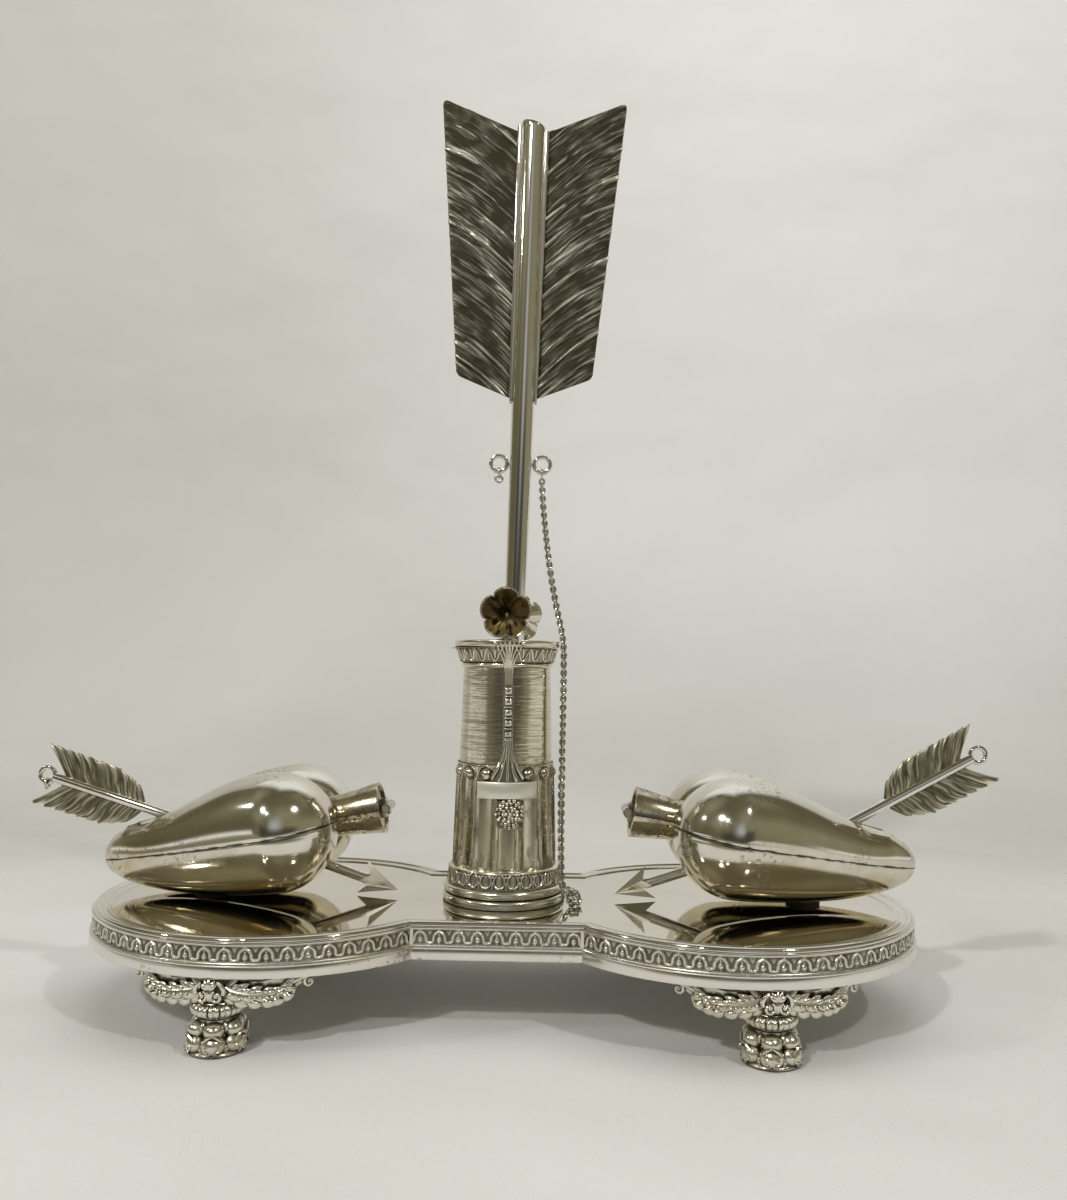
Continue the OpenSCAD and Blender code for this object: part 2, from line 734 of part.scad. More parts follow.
// distance from the heart's middle to its outline, in the direction a
heart_mid = heart_len - 24;
function inside(r, a) = dome(heart_mid + r * cos(a), r * sin(a)) > 0
    && heart_mid + r * cos(a) > 0;
function outline(a, lo = 0, hi = 60, n = 14) = n == 0 ? lo
    : let (m = (lo + hi) / 2) inside(m, a) ? outline(a, m, hi, n - 1) : outline(a, lo, m, n - 1);

heart_around = 44;
heart_rings = 8;

// up: the lid, else the bowl, whose foot is flattened where it stands on its seat
function heart_point(a, s, up, shrink, slope) =
    let (edge = outline(a) - shrink * 1.4,
         q = sin(90 * s),
         u = heart_mid + edge * q * cos(a),
         v = edge * q * sin(a),
         full = sqrt(max(0, dome(u, v))),
         h = (up ? lid_rise(u) : bowl_drop(u)) * full,
         x = tip_x - u,
         flat_w = (plate_z + seat_h - hinge_z + x * sin(slope)) / cos(slope),
         w = s > 0.999 ? 0 : (up ? max(0.05, h - shrink) : min(-0.05, max(-h, flat_w) + shrink)))
    [x, v, w + (up ? parting / 2 : -parting / 2)];

module heart_half(side, up) {
    n = heart_around;
    m = heart_rings;
    turn = 360 / n;
    slope = tilt(side);
    skin = [for (j = [1 : m]) for (i = [0 : n - 1])
        heart_point(i * turn, j / m, up, 0, slope)];
    lining = [for (j = [1 : m]) for (i = [0 : n - 1])
        heart_point(i * turn, j / m, up, wall, slope)];
    base = len(skin);
    poles = 2 * base;
    faces = concat(
        [for (i = [0 : n - 1]) [poles, i, (i + 1) % n]],
        [for (j = [0 : m - 2]) for (i = [0 : n - 1]) let (k = (i + 1) % n)
            each [[j * n + i, (j + 1) * n + i, (j + 1) * n + k], [j * n + i, (j + 1) * n + k, j * n + k]]],
        [for (i = [0 : n - 1]) let (k = (i + 1) % n, o = (m - 1) * n)
            each [[o + i, base + o + i, base + o + k], [o + i, base + o + k, o + k]]],
        [for (j = [0 : m - 2]) for (i = [0 : n - 1]) let (k = (i + 1) % n, b = base)
            each [[b + j * n + i, b + (j + 1) * n + k, b + (j + 1) * n + i],
                [b + j * n + i, b + j * n + k, b + (j + 1) * n + k]]],
        [for (i = [0 : n - 1]) [poles + 1, base + (i + 1) % n, base + i]]);
    polyhedron(
        points = concat(skin, lining,
            [heart_point(0, 0, up, 0, slope), heart_point(0, 0, up, wall, slope)]),
        faces = up ? faces : [for (f = faces) [f[2], f[1], f[0]]]);
}

// solid shape of a neck, along +X from its end face
module neck_core(extra) {
    translate([neck_face, 0, 0]) rotate([0, 90, 0]) {
        cylinder(r1 = neck_end_r + extra, r2 = neck_root_r + extra, h = neck_len);
        translate([0, 0, neck_len]) cylinder(r = neck_root_r + extra, h = neck_in);
    }
}
neck_in = 9;
neck_wall = 1.2;

module neck_half(up) {
    difference() {
        neck_core(0);
        translate([neck_face + neck_wall, 0, 0]) rotate([0, 90, 0]) {
            cylinder(r1 = neck_end_r - neck_wall, r2 = neck_root_r - neck_wall,
                h = neck_len - neck_wall);
            translate([0, 0, neck_len - neck_wall])
                cylinder(r = neck_root_r - neck_wall, h = neck_in + 1);
        }
        translate([-50, -50, up ? -100 + parting / 2 : -parting / 2]) cube([100, 100, 100]);
    }
}

module along_y(r, y0, y1) {
    translate([0, y1, 0]) rotate([90, 0, 0]) cylinder(r = r, h = y1 - y0);
}

knuckle_w = 1.9;
knuckle_side = 0.15;
web_h = 2.6;

module neck_bowl(side) {
    color(silver) heart_frame(side) {
        neck_half(false);
        for (s = [-1, 1]) scale_y(s) difference() {
            union() {
                along_y(knuckle_r, knuckle_w + knuckle_side, hinge_half);
                translate([0, knuckle_w + knuckle_side, -web_h])
                    cube([neck_face + 0.1, hinge_half - knuckle_w - knuckle_side,
                        web_h - parting / 2]);
            }
            along_y(pin_r, 0, hinge_half + 1);
        }
    }
}

module scale_y(s) { mirror([0, s < 0 ? 1 : 0, 0]) children(); }

module neck_lid(side) {
    color(silver) heart_frame(side) {
        neck_half(true);
        difference() {
            union() {
                along_y(knuckle_r, -knuckle_w, knuckle_w);
                translate([0, -knuckle_w, parting / 2])
                    cube([neck_face + 0.1, 2 * knuckle_w, web_h - parting / 2]);
            }
            along_y(pin_r + pin_fit, -hinge_half, hinge_half);
        }
    }
}

module hinge_pin(side) {
    head_r = 0.95;
    head_t = 0.5;
    color("darkgray") heart_frame(side) {
        along_y(pin_r, -hinge_half, hinge_half);
        for (s = [-1, 1]) scale_y(s) along_y(head_r, hinge_half, hinge_half + head_t);
    }
}

module bowl(side) {
    color(silver) difference() {
        heart_frame(side) heart_half(side, false);
        heart_frame(side) neck_core(seat_fit);
        dart_line(side) translate([0, 0, 5]) cylinder(r = dart_r + seat_fit, h = pierce_len + 8,
            $fn = 24);
    }
}

module lid(side) {
    color(silver) difference() {
        heart_frame(side) heart_half(side, true);
        heart_frame(side) neck_core(seat_fit);
        tail_line(side) translate([0, 0, -12]) cylinder(r = dart_r + seat_fit, h = 20, $fn = 24);
    }
}

module liner(side) {
    color("aliceblue") heart_frame(side) translate([liner_x, 0, liner_bottom]) difference() {
        cylinder(r = liner_r, h = liner_top - liner_bottom);
        translate([0, 0, liner_wall])
            cylinder(r = liner_r - liner_wall, h = liner_top - liner_bottom);
    }
}

module heart_seat(side) {
    x = side * (seat_x + hinge_x(side));
    low = frieze_top - nut_h - 0.6;
    color(silver) translate([x, 0, 0]) {
        translate([0, 0, plate_z]) cylinder(r = seat_r, h = seat_h);
        translate([0, 0, low]) cylinder(r = stud_r, h = plate_z - low + 0.1);
    }
}

// ---------- small arrows ----------

// the line of an arrowhead: origin at its tip, +Z back up into the heart
module dart_line(side) {
    scale_x(side) translate([hinge_x(side) - head_tip_in, 0, plate_z + head_tip_over]) rotate([0, 90 - head_slope, 0])
        children();
}

// the line of a tail: origin where it leaves the lid, +Z out to its ring
module tail_line(side) {
    heart_frame(side) translate([tail_from, 0, lid_rise(tip_x - tail_from)])
        rotate([0, 90 - tail_slope(side) - tilt(side), 0]) children();
}

// four barbs with hollowed faces between them
module arrowhead_core() {
    hollow = 0.46;
    back = 0.8;
    ring = [for (i = [0 : 7]) let (even = i % 2 == 0, r = head_w * (even ? 1 : hollow),
            z = head_len * (even ? 1 : back))
        [r * cos(i * 45), r * sin(i * 45), z]];
    polyhedron(points = concat([[0, 0, 0]], ring, [[0, 0, head_len * 0.72]]),
        faces = concat([for (i = [0 : 7]) [0, 1 + i, 1 + (i + 1) % 8]],
            [for (i = [0 : 7]) [9, 1 + (i + 1) % 8, 1 + i]]));
}

module arrowhead(side) {
    color(silver) dart_line(side) {
        arrowhead_core();
        translate([0, 0, head_len * 0.6]) cylinder(r = dart_r, h = pierce_len - head_len * 0.6);
    }
}

module tail(side) {
    color(silver) tail_line(side) {
        translate([0, 0, -tail_sunk])
            cylinder(r = dart_r, h = tail_len(side) + tail_sunk - dart_eye_r);
        translate([0, 0, tail_len(side)]) upright() torus(dart_eye_r, dart_eye_wire);
    }
}

teeth = 9;
// half outline of the small vanes: x out from the shaft, y along it
function tooth_edge(k) = let (t = k / teeth, z = 5.5 + t * dart_vane_len)
    [[dart_vane_w * (0.83 + 0.17 * t) - 0.7, z], [dart_vane_w * (0.83 + 0.17 * t), z + 2.4]];

module tail_vanes(side) {
    start = tail_len(side) - dart_vane_len - 2.5;
    color(silver) tail_line(side) difference() {
        for (s = [-1, 1]) scale_x(s) translate([0, 0, start]) upright()
            translate([0, 0, -0.45]) linear_extrude(0.9) polygon(concat(
                [[0.6, 0], [dart_r + 0.4, 0], [dart_vane_w * 0.62, 2.6]],
                [for (k = [0 : teeth - 1]) each tooth_edge(k)],
                [[dart_r + 0.4, dart_vane_len - 3], [0.6, dart_vane_len - 3]]));
        translate([0, 0, -tail_sunk]) cylinder(r = dart_r + seat_fit, h = tail_len(side) + 20);
    }
}

// middle of the left tail's ring
function tail_eye() =
    let (x = tail_from, w = lid_rise(tip_x - tail_from), t = left_tilt, s = left_tail_slope)
    [-left_hinge_x - x * cos(t) - w * sin(t) - left_tail_len * cos(s), 0,
        hinge_z - x * sin(t) + w * cos(t) + left_tail_len * sin(s)];

module tail_link() {
    color(silver) translate(tail_eye()) hung_link(dart_eye_r, dart_eye_wire);
}

// ---------- nodes ----------

base_tray();
frieze_end();  // frieze_left
mirror([1, 0, 0]) frieze_end();  // frieze_right
frieze_bar();  // frieze_front
mirror([0, 1, 0]) frieze_bar();  // frieze_rear
top_plate();
plate_border();
foot_spot(-1, true) foot();  // foot_front_left
foot_spot(1, true) foot();  // foot_front_right
foot_spot(-1, false) foot();  // foot_rear_left
foot_spot(1, false) foot();  // foot_rear_right
foot_nuts();
plate_nuts();
quiver_foot();
quiver_body();
quiver_capital();
quiver_palmette();
quiver_strap();
label_bar();
rosette();
arrow_socket();
quiver_stud();
flower();  // flower_front
rotate([0, 0, 168]) flower();  // flower_rear
arrow_shaft();
arrow_vane(-1);  // arrow_vane_left
arrow_vane(1);  // arrow_vane_right
arrow_ring(-1);  // arrow_ring_left
arrow_ring(1);  // arrow_ring_right
arrow_link();
chain_link();
chain();
bowl(-1);  // bowl_left
bowl(1);  // bowl_right
lid(-1);  // lid_left
lid(1);  // lid_right
neck_bowl(-1);  // neck_bowl_left
neck_bowl(1);  // neck_bowl_right
neck_lid(-1);  // neck_lid_left
neck_lid(1);  // neck_lid_right
hinge_pin(-1);  // hinge_pin_left
hinge_pin(1);  // hinge_pin_right
liner(-1);  // liner_left
liner(1);  // liner_right
heart_seat(-1);  // heart_seat_left
heart_seat(1);  // heart_seat_right
arrowhead(-1);  // arrowhead_left
arrowhead(1);  // arrowhead_right
tail(-1);  // tail_left
tail(1);  // tail_right
tail_vanes(-1);  // tail_vanes_left
tail_vanes(1);  // tail_vanes_right
tail_link();
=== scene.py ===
import bpy
import bmesh
import math
import random
import numpy as np
from mathutils import Matrix, Vector


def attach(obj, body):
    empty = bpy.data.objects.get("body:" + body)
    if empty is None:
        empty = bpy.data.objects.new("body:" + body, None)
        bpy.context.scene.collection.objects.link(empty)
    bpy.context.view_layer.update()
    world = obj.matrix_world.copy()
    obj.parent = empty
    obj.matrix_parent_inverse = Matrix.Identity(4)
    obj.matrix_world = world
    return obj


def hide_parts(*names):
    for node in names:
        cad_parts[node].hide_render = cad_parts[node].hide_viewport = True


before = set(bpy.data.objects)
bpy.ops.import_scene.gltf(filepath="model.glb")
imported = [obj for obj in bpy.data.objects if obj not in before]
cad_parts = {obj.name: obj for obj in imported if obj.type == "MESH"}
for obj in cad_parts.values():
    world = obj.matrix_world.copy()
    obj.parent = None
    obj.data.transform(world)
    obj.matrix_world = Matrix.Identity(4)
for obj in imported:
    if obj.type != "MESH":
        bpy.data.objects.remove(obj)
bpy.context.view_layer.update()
print("frame loaded:", len(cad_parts), "nodes")

pi = math.pi

# sizes in millimetres, as in the part's own source
plan = dict(lobeR=54.6, lobeX=65.4, barW=69.4, plateZ=28.1, frontTurn=5, lean=1.4)
frontTurn = math.radians(plan["frontTurn"])


def sideName(side):
    return "Left" if side < 0 else "Right"


def spun(x, y, turn):
    c, s = math.cos(turn), math.sin(turn)
    return x * c - y * s, x * s + y * c


def turned(r, a, z):
    # points at radius r, turned by a from the front line
    return np.stack(np.broadcast_arrays(r * np.sin(a), -r * np.cos(a), z), -1)


def circle(n):
    return np.linspace(0, 2 * pi, n, endpoint=False)


def mesh(u0, u1, nu, v0, v1, nv):
    return np.meshgrid(np.linspace(u0, u1, nu), np.linspace(v0, v1, nv))


def smoothStep(t):
    t = np.clip(t, 0, 1)
    return t * t * (3 - 2 * t)


def dome(t):
    return np.sqrt(np.clip(1 - t, 0, 1))


def ringBump(dist, width):
    return dome((dist / width) ** 2)


def ovalBump(x, y, rx, ry):
    return np.sqrt(np.clip(1 - (x / rx) ** 2 - (y / ry) ** 2, 0, 1))


def ridge(x, y, line, width):
    # a round rib of half this width along a line of points
    best = np.full(x.shape, 1e9)
    for (ax, ay), (bx, by) in zip(line[:-1], line[1:]):
        ux, uy = bx - ax, by - ay
        t = np.clip(((x - ax) * ux + (y - ay) * uy) / (ux * ux + uy * uy), 0, 1)
        best = np.minimum(best, np.hypot(x - ax - t * ux, y - ay - t * uy))
    return ringBump(best, width)


def drift(u, v, seed):
    # smooth random values from 0 to 1 over two lengths
    table = np.random.RandomState(seed).rand(97, 89)
    iu, iv = np.floor(u).astype(int), np.floor(v).astype(int)
    a, b = smoothStep(u - iu), smoothStep(v - iv)
    at = lambda i, j: table[i % 97, j % 89]
    return ((at(iu, iv) * (1 - a) + at(iu + 1, iv) * a) * (1 - b)
        + (at(iu, iv + 1) * (1 - a) + at(iu + 1, iv + 1) * a) * b)


def arcLine(cx, cz, r, a0, a1, n):
    return [(cx + r * math.cos(math.radians(a)), cz + r * math.sin(math.radians(a)))
        for a in np.linspace(a0, a1, n)]


def smoothRoute(points, per=12):
    p = np.array(points, float)
    p = np.vstack([2 * p[0] - p[1], p, 2 * p[-1] - p[-2]])
    out = []
    for k in range(1, len(p) - 2):
        for t in np.linspace(0, 1, per, endpoint=False):
            out.append(0.5 * (2 * p[k] + (p[k + 1] - p[k - 1]) * t
                + (2 * p[k - 1] - 5 * p[k] + 4 * p[k + 1] - p[k + 2]) * t * t
                + (3 * p[k] - p[k - 1] - 3 * p[k + 1] + p[k + 2]) * t ** 3))
    return np.array(out + [p[-2]])


class Form:
    # points in millimetres with a crest value each, and faces with a material mark each
    def __init__(self):
        self.points, self.faces, self.marks, self.crests, self.count = [], [], [], [], 0

    def shape(self, points, faces, mark=0, crest=None):
        points = np.asarray(points, float).reshape(-1, 3)
        self.points.append(points)
        self.crests.append(np.ones(len(points)) if crest is None else np.ravel(crest))
        self.faces += [[int(i) + self.count for i in face] for face in faces]
        self.marks += [mark] * len(faces)
        self.count += len(points)

    def grid(self, p, closeU=False, closeV=False, mark=0, crest=None):
        p = np.asarray(p, float)
        nu, nv = p.shape[:2]
        i, j = np.meshgrid(np.arange(nu if closeU else nu - 1),
            np.arange(nv if closeV else nv - 1), indexing="ij")
        i, j = i.ravel(), j.ravel()
        k, m = (i + 1) % nu, (j + 1) % nv
        quads = np.stack([i * nv + j, k * nv + j, k * nv + m, i * nv + m], 1)
        self.shape(p, quads.tolist(), mark, crest)

    def ball(self, centre, radii, mark=0, n=12, turn=0):
        rx, ry, rz = np.broadcast_to(radii, 3)
        u, v = np.meshgrid(circle(n), np.linspace(0.02, pi - 0.02, n // 2 + 2), indexing="ij")
        x, y = spun(np.cos(u) * np.sin(v) * rx, np.sin(u) * np.sin(v) * ry, turn)
        self.grid(np.stack([x, y, np.cos(v) * rz], -1) + np.asarray(centre, float), closeU=True,
            mark=mark)

    def tube(self, path, radius, sides=8, closed=False, mark=0, flat=1):
        p = np.asarray(path, float)
        r = np.broadcast_to(np.asarray(radius, float), (len(p),))
        d = np.roll(p, -1, 0) - np.roll(p, 1, 0) if closed else np.gradient(p, axis=0)
        d /= np.linalg.norm(d, axis=1)[:, None] + 1e-12
        ref = np.array([0.0, 1.0, 0.0]) if abs(d[0][1]) < 0.9 else np.array([1.0, 0, 0])
        t = circle(sides)[:, None]
        rows = []
        for here, along, size in zip(p, d, r):
            ref = ref - along * np.dot(ref, along)
            ref /= np.linalg.norm(ref) + 1e-12
            other = np.cross(along, ref)
            rows.append(here + size * (ref * np.cos(t) * flat + other * np.sin(t)))
        self.grid(rows, closeU=closed, closeV=True, mark=mark)
        if not closed:
            for first in (self.count - len(p) * sides, self.count - sides):
                self.faces.append(list(range(first, first + sides)))
                self.marks.append(mark)

    def revolve(self, profile, n=144, centre=(0, 0)):
        r, z = np.array(profile, float).T[:, :, None]
        t = circle(n)[None, :]
        self.grid(turned(r, t, z) + (*centre, 0), closeV=True)

    def box(self, lo, hi):
        xs, ys, zs = zip(lo, hi)
        self.shape([(x, y, z) for x in xs for y in ys for z in zs],
            [(0, 1, 3, 2), (4, 6, 7, 5), (0, 4, 5, 1), (2, 3, 7, 6), (0, 2, 6, 4), (1, 5, 7, 3)])

    def leaf(self, x, z, height, crest):
        # a closed sheet with the same relief on its front and back
        front, back = np.stack([x, -height, z], -1), np.stack([x, height, z], -1)
        self.grid(np.concatenate([front, back[:, ::-1]], 1), closeV=True,
            crest=np.concatenate([crest, crest[:, ::-1]], 1))

    def all(self):
        return np.concatenate(self.points)


def linked(name, data):
    item = bpy.data.objects.new(name, data)
    bpy.context.scene.collection.objects.link(item)
    return item


def makePiece(form, name, node, looks, body="base", slot="silver", sharp=50, change=None):
    pts = change(form.all()) if change else form.all()
    data = bpy.data.meshes.new(name)
    data.from_pydata((pts * 0.001).tolist(), [], form.faces)
    # crest: relief height of each point; the finishes darken where it is low, as tarnish together
    # with painted shade
    crest = data.attributes.new("crest", "FLOAT", "POINT")
    crest.data.foreach_set("value", np.concatenate(form.crests).astype(np.float32))
    bm = bmesh.new()
    bm.from_mesh(data)
    bmesh.ops.remove_doubles(bm, verts=bm.verts, dist=2e-6)
    bmesh.ops.recalc_face_normals(bm, faces=bm.faces)
    bm.to_mesh(data)
    marksKept = len(bm.faces) == len(form.marks)
    bm.free()
    for look in looks.split():
        data.materials.append(finish[look])
    if len(data.materials) > 1 and marksKept:
        data.polygons.foreach_set("material_index", np.array(form.marks, np.int32))
    data.shade_smooth()
    data.set_sharp_from_angle(angle=math.radians(sharp))
    data.update()
    piece = linked(name, data)
    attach(piece, body)
    if node:
        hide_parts(node)
    return piece


def maths(operation, swapped=False):
    def run(self, other):
        a, b = (other, self) if swapped else (self, other)
        return self.graph.add("Math", {0: a, 1: b}, operation=operation)
    return run


class Value:
    def __init__(self, graph, socket):
        self.graph, self.socket = graph, socket

    __add__, __radd__ = maths("ADD"), maths("ADD", True)
    __sub__, __rsub__ = maths("SUBTRACT"), maths("SUBTRACT", True)
    __mul__, __rmul__ = maths("MULTIPLY"), maths("MULTIPLY", True)

    def __abs__(self):
        return self.graph.add("Math", {0: self}, operation="ABSOLUTE")

    def clamped(self):
        return self.graph.add("Clamp", {0: self})


class Graph:
    def __init__(self, owner):
        self.owner = owner
        owner.use_nodes = True
        self.tree = owner.node_tree
        self.tree.nodes.clear()

    def add(self, kind, values=None, out=0, **settings):
        node = self.tree.nodes.new("ShaderNode" + kind)
        for key, value in settings.items():
            setattr(node, key, value)
        for key, value in (values or {}).items():
            if isinstance(value, Value):
                self.tree.links.new(value.socket, node.inputs[key])
            else:
                node.inputs[key].default_value = value
        return Value(self, node.outputs[out])

    def mix(self, factor, *colours):
        a, b = (c if isinstance(c, Value) else (*c, 1) for c in colours)
        return self.add("Mix", {0: factor, 6: a, 7: b}, out=2, data_type="RGBA")

    def place(self):
        return self.add("TexCoord", out=3)

    def axis(self, place, k):
        return self.add("SeparateXYZ", {0: place}, out=k)

    def noise(self, place, scale, detail=3, rough=0.5):
        return self.add("TexNoise", {"Vector": place, "Scale": scale, "Detail": detail,
            "Roughness": rough})

    def stretched(self, place, by, detail, rough=0.5, scale=1):
        by = by if isinstance(by, tuple) else (by,) * 3
        longer = self.add("VectorMath", {0: place, 1: by}, operation="MULTIPLY")
        return self.noise(longer, scale, detail, rough)

    def spread(self, value, low, high):
        return self.add("MapRange", {0: value, 1: low, 2: high, 3: 0, 4: 1},
            interpolation_type="SMOOTHSTEP")

    def finish(self, values, height, strength, distance):
        values["Normal"] = self.add("Bump", {"Strength": strength, "Distance": distance,
            "Height": height})
        return self.output(self.add("BsdfPrincipled", values))

    def output(self, shader, kind="OutputMaterial"):
        node = self.tree.nodes.new("ShaderNode" + kind)
        self.tree.links.new(shader.socket, node.inputs[0])
        return self.owner


def silverFinish(name, clean=(0.8, 0.78, 0.72), dull=(0.56, 0.49, 0.36), dark=(0.1, 0.085, 0.055),
        rough=0.16, tarnish=0.35, grain=300, grainDepth=3e-5, recess=0, reach=0.0012, speckle=0,
        valley=0, lowZ=None, hairs=None, stain=None):
    g = Graph(bpy.data.materials.new(name))
    place = g.place()
    patches = g.spread(g.noise(place, 42, 4, 0.6), 0.42, 0.72)
    cloud = g.noise(place, 160, 3, 0.55)
    tarnishAndLowShade = patches * tarnish
    # for the hearts, lowZ darkens the lower part towards the golden dull tone: partly tarnish,
    # partly painted shade reflected from the plate below
    if lowZ:
        tarnishAndLowShade = (tarnishAndLowShade + (1 - g.spread(g.axis(place, 2), lowZ[0], lowZ[1])) * lowZ[2]
            * (0.55 + 0.9 * patches)).clamped()
    base = g.mix(tarnishAndLowShade, clean, dull)
    roughness = rough * (0.8 + tarnishAndLowShade * 0.9 + cloud * 0.45)

    def layer(mask, tone, rougher, cover=None):
        nonlocal base, roughness
        base = g.mix(mask if cover is None else cover, base, tone)
        roughness = roughness + mask * rougher

    if speckle:
        spots = g.spread(g.noise(place, 900, 1, 0.4), 0.58, 0.66)
        where = g.spread(g.noise(place, 48, 2, 0.5), 0.5, 0.64)
        layer(spots * where * speckle, (0.16, 0.13, 0.08), 0.3)
    if stain:
        marks = g.spread(g.stretched(place, stain[0], 3, 0.6), 0.47, 0.64) * stain[1]
        layer(marks, dark, 0.12, marks * (0.5 + patches * 0.5))
    if recess:
        # recess: darkens hollows and creases by ambient occlusion, partly tarnish in the hollows
        # and partly painted shade
        hidden = g.add("AmbientOcclusion", {"Distance": reach}, out=1, samples=8)
        shade = (1 - g.spread(hidden, 0.25, 0.92)) * recess * (0.75 + cloud * 0.5)
        layer(shade.clamped(), dark, 0.3)
    if valley:
        # valley: darkens where the crest attribute is low, between the raised relief: tarnish
        # together with painted shade; on the hearts it draws the dark seam line
        crest = g.add("Attribute", out=2, attribute_name="crest")
        layer(((1 - crest) * valley * (0.7 + cloud * 0.6)).clamped(), dark, 0.18)
    if hairs:
        # dark lines between the hair strands of the vanes, lighter on the crests: tarnish in the
        # fine grooves together with painted shade
        fine = hairLines(g, place, **hairs)
        between = (1 - g.spread(fine, 0.42, 0.58)) * (0.9 - g.spread(crest, 0.45, 0.9) * 0.7)
        base = g.mix(between, base, dark)
    else:
        fine = g.stretched(place, grain, 2)
    return g.finish({"Base Color": base, "Metallic": 1, "Roughness": roughness}, fine, 0.5,
        grainDepth)


def hairLines(g, place, slope, fineness, lean, foot):
    # streaks that climb outwards on both sides of a leaning shaft
    x, z = g.axis(place, 0), g.axis(place, 2)
    out = abs(x - (z - foot) * lean)
    streak = g.add("CombineXYZ", {0: (z - out * slope + out * out * 9) * fineness,
        1: out * fineness * 0.09, 2: 0})
    return g.noise(streak, 1, 3, 0.6)


# recess and valley set how strongly each finish darkens hollows and valleys: tarnish together with
# painted shade
looks = dict(
    mirror=dict(clean=(0.82, 0.79, 0.7), dull=(0.66, 0.59, 0.42), rough=0.045, tarnish=0.3,
        grainDepth=6e-6, grain=140),
    heart=dict(clean=(0.8, 0.78, 0.71), dull=(0.58, 0.5, 0.31), dark=(0.05, 0.04, 0.025),
        rough=0.085, tarnish=0.5, grainDepth=1e-5, grain=90, speckle=0.5,
        lowZ=(0.031, 0.052, 0.75), valley=0.9),
    band=dict(clean=(0.84, 0.82, 0.77), dull=(0.66, 0.61, 0.49), rough=0.17, tarnish=0.3,
        grainDepth=2e-5, speckle=0.5, recess=0.6),
    frieze=dict(clean=(0.84, 0.82, 0.74), dark=(0.12, 0.107, 0.066), rough=0.24, tarnish=0.3,
        recess=0.5, reach=0.0009, valley=0.9, grain=900, grainDepth=6e-5),
    cast=dict(clean=(0.82, 0.79, 0.69), dull=(0.5, 0.44, 0.28), dark=(0.075, 0.063, 0.034),
        rough=0.2, tarnish=0.6, recess=1, reach=0.0024, valley=0.85, grain=700, grainDepth=6e-5),
    drum=dict(clean=(0.74, 0.71, 0.56), dull=(0.58, 0.53, 0.37), rough=0.15, tarnish=0.5,
        recess=0.7, reach=0.002, grain=(150, 150, 1300), grainDepth=0.00014, speckle=0.6,
        stain=((60, 60, 1700), 0.6)),
    vane=dict(clean=(0.9, 0.87, 0.76), dull=(0.42, 0.38, 0.26), dark=(0.05, 0.044, 0.026),
        rough=0.27, tarnish=0.7, recess=0.5, reach=0.001, valley=0.97, grainDepth=0.0006,
        hairs=dict(slope=1.1, fineness=1500, lean=0.0244, foot=0.0281)),
    smallVane=dict(clean=(0.84, 0.8, 0.62), dull=(0.48, 0.43, 0.29), rough=0.32, tarnish=0.6,
        dark=(0.075, 0.065, 0.036), recess=0.6, reach=0.0009, valley=0.88, grain=1300,
        grainDepth=0.0001),
    rod=dict(clean=(0.82, 0.8, 0.75), dull=(0.62, 0.57, 0.46), rough=0.07, tarnish=0.25,
        grainDepth=1e-5),
    chain=dict(clean=(0.78, 0.76, 0.69), dark=(0.07, 0.06, 0.04), rough=0.2, tarnish=0.4, recess=1,
        reach=0.001),
    gilt=dict(name="wornGilt", clean=(1, 0.78, 0.36), dull=(0.5, 0.33, 0.12), rough=0.36,
        dark=(0.022, 0.015, 0.007), tarnish=0.3, recess=0.5, reach=0.003, valley=0.97, grain=500,
        grainDepth=8e-5),
    tongue=dict(name="tongueGilt", clean=(0.66, 0.5, 0.27), dull=(0.34, 0.2, 0.08), rough=0.28,
        tarnish=0.8, recess=0.8, reach=0.0015),
    flute=dict(clean=(0.8, 0.76, 0.63), dull=(0.48, 0.43, 0.27), dark=(0.1, 0.085, 0.05),
        rough=0.16, tarnish=0.8, recess=0.9, reach=0.0022, speckle=0.6,
        stain=((380, 380, 110), 0.9)),
    capital=dict(clean=(0.82, 0.78, 0.66), dull=(0.54, 0.48, 0.32), dark=(0.1, 0.085, 0.048),
        rough=0.17, tarnish=0.55, recess=0.7, valley=0.62),
    chased=dict(clean=(0.78, 0.74, 0.62), dull=(0.5, 0.44, 0.28), dark=(0.09, 0.08, 0.045),
        rough=0.25, tarnish=0.6, recess=1, reach=0.0011, valley=0.9),
    bar=dict(name="labelSilver", clean=(0.9, 0.88, 0.8), rough=0.42, tarnish=0.25, grainDepth=2e-5,
        speckle=0.4),
    petal=dict(clean=(0.84, 0.81, 0.71), dark=(0.14, 0.12, 0.07), rough=0.22, recess=0.8,
        reach=0.002),
    inside=dict(name="heartInside", clean=(0.68, 0.62, 0.47), dull=(0.38, 0.31, 0.18), rough=0.28,
        tarnish=0.8),
    neck=dict(clean=(0.7, 0.65, 0.52), dull=(0.34, 0.28, 0.155), rough=0.13, tarnish=0.9,
        recess=0.9, reach=0.002, grainDepth=1e-5, speckle=1, stain=((330, 330, 330), 0.6)),
    blade=dict(clean=(0.84, 0.82, 0.77), rough=0.1, tarnish=0.3, grainDepth=1e-5),
    # the heart seats are near black: painted shade where the hearts rest on the plate
    shade=dict(name="seatPaintedShade", clean=(0.07, 0.058, 0.035), dull=(0.04, 0.03, 0.02), rough=0.5,
        tarnish=0.6),
    steel=dict(name="pinSteel", clean=(0.5, 0.49, 0.46), dull=(0.3, 0.27, 0.22), rough=0.3,
        tarnish=0.5))
finish = {key: silverFinish(**{"name": key + "Silver", **look}) for key, look in looks.items()}


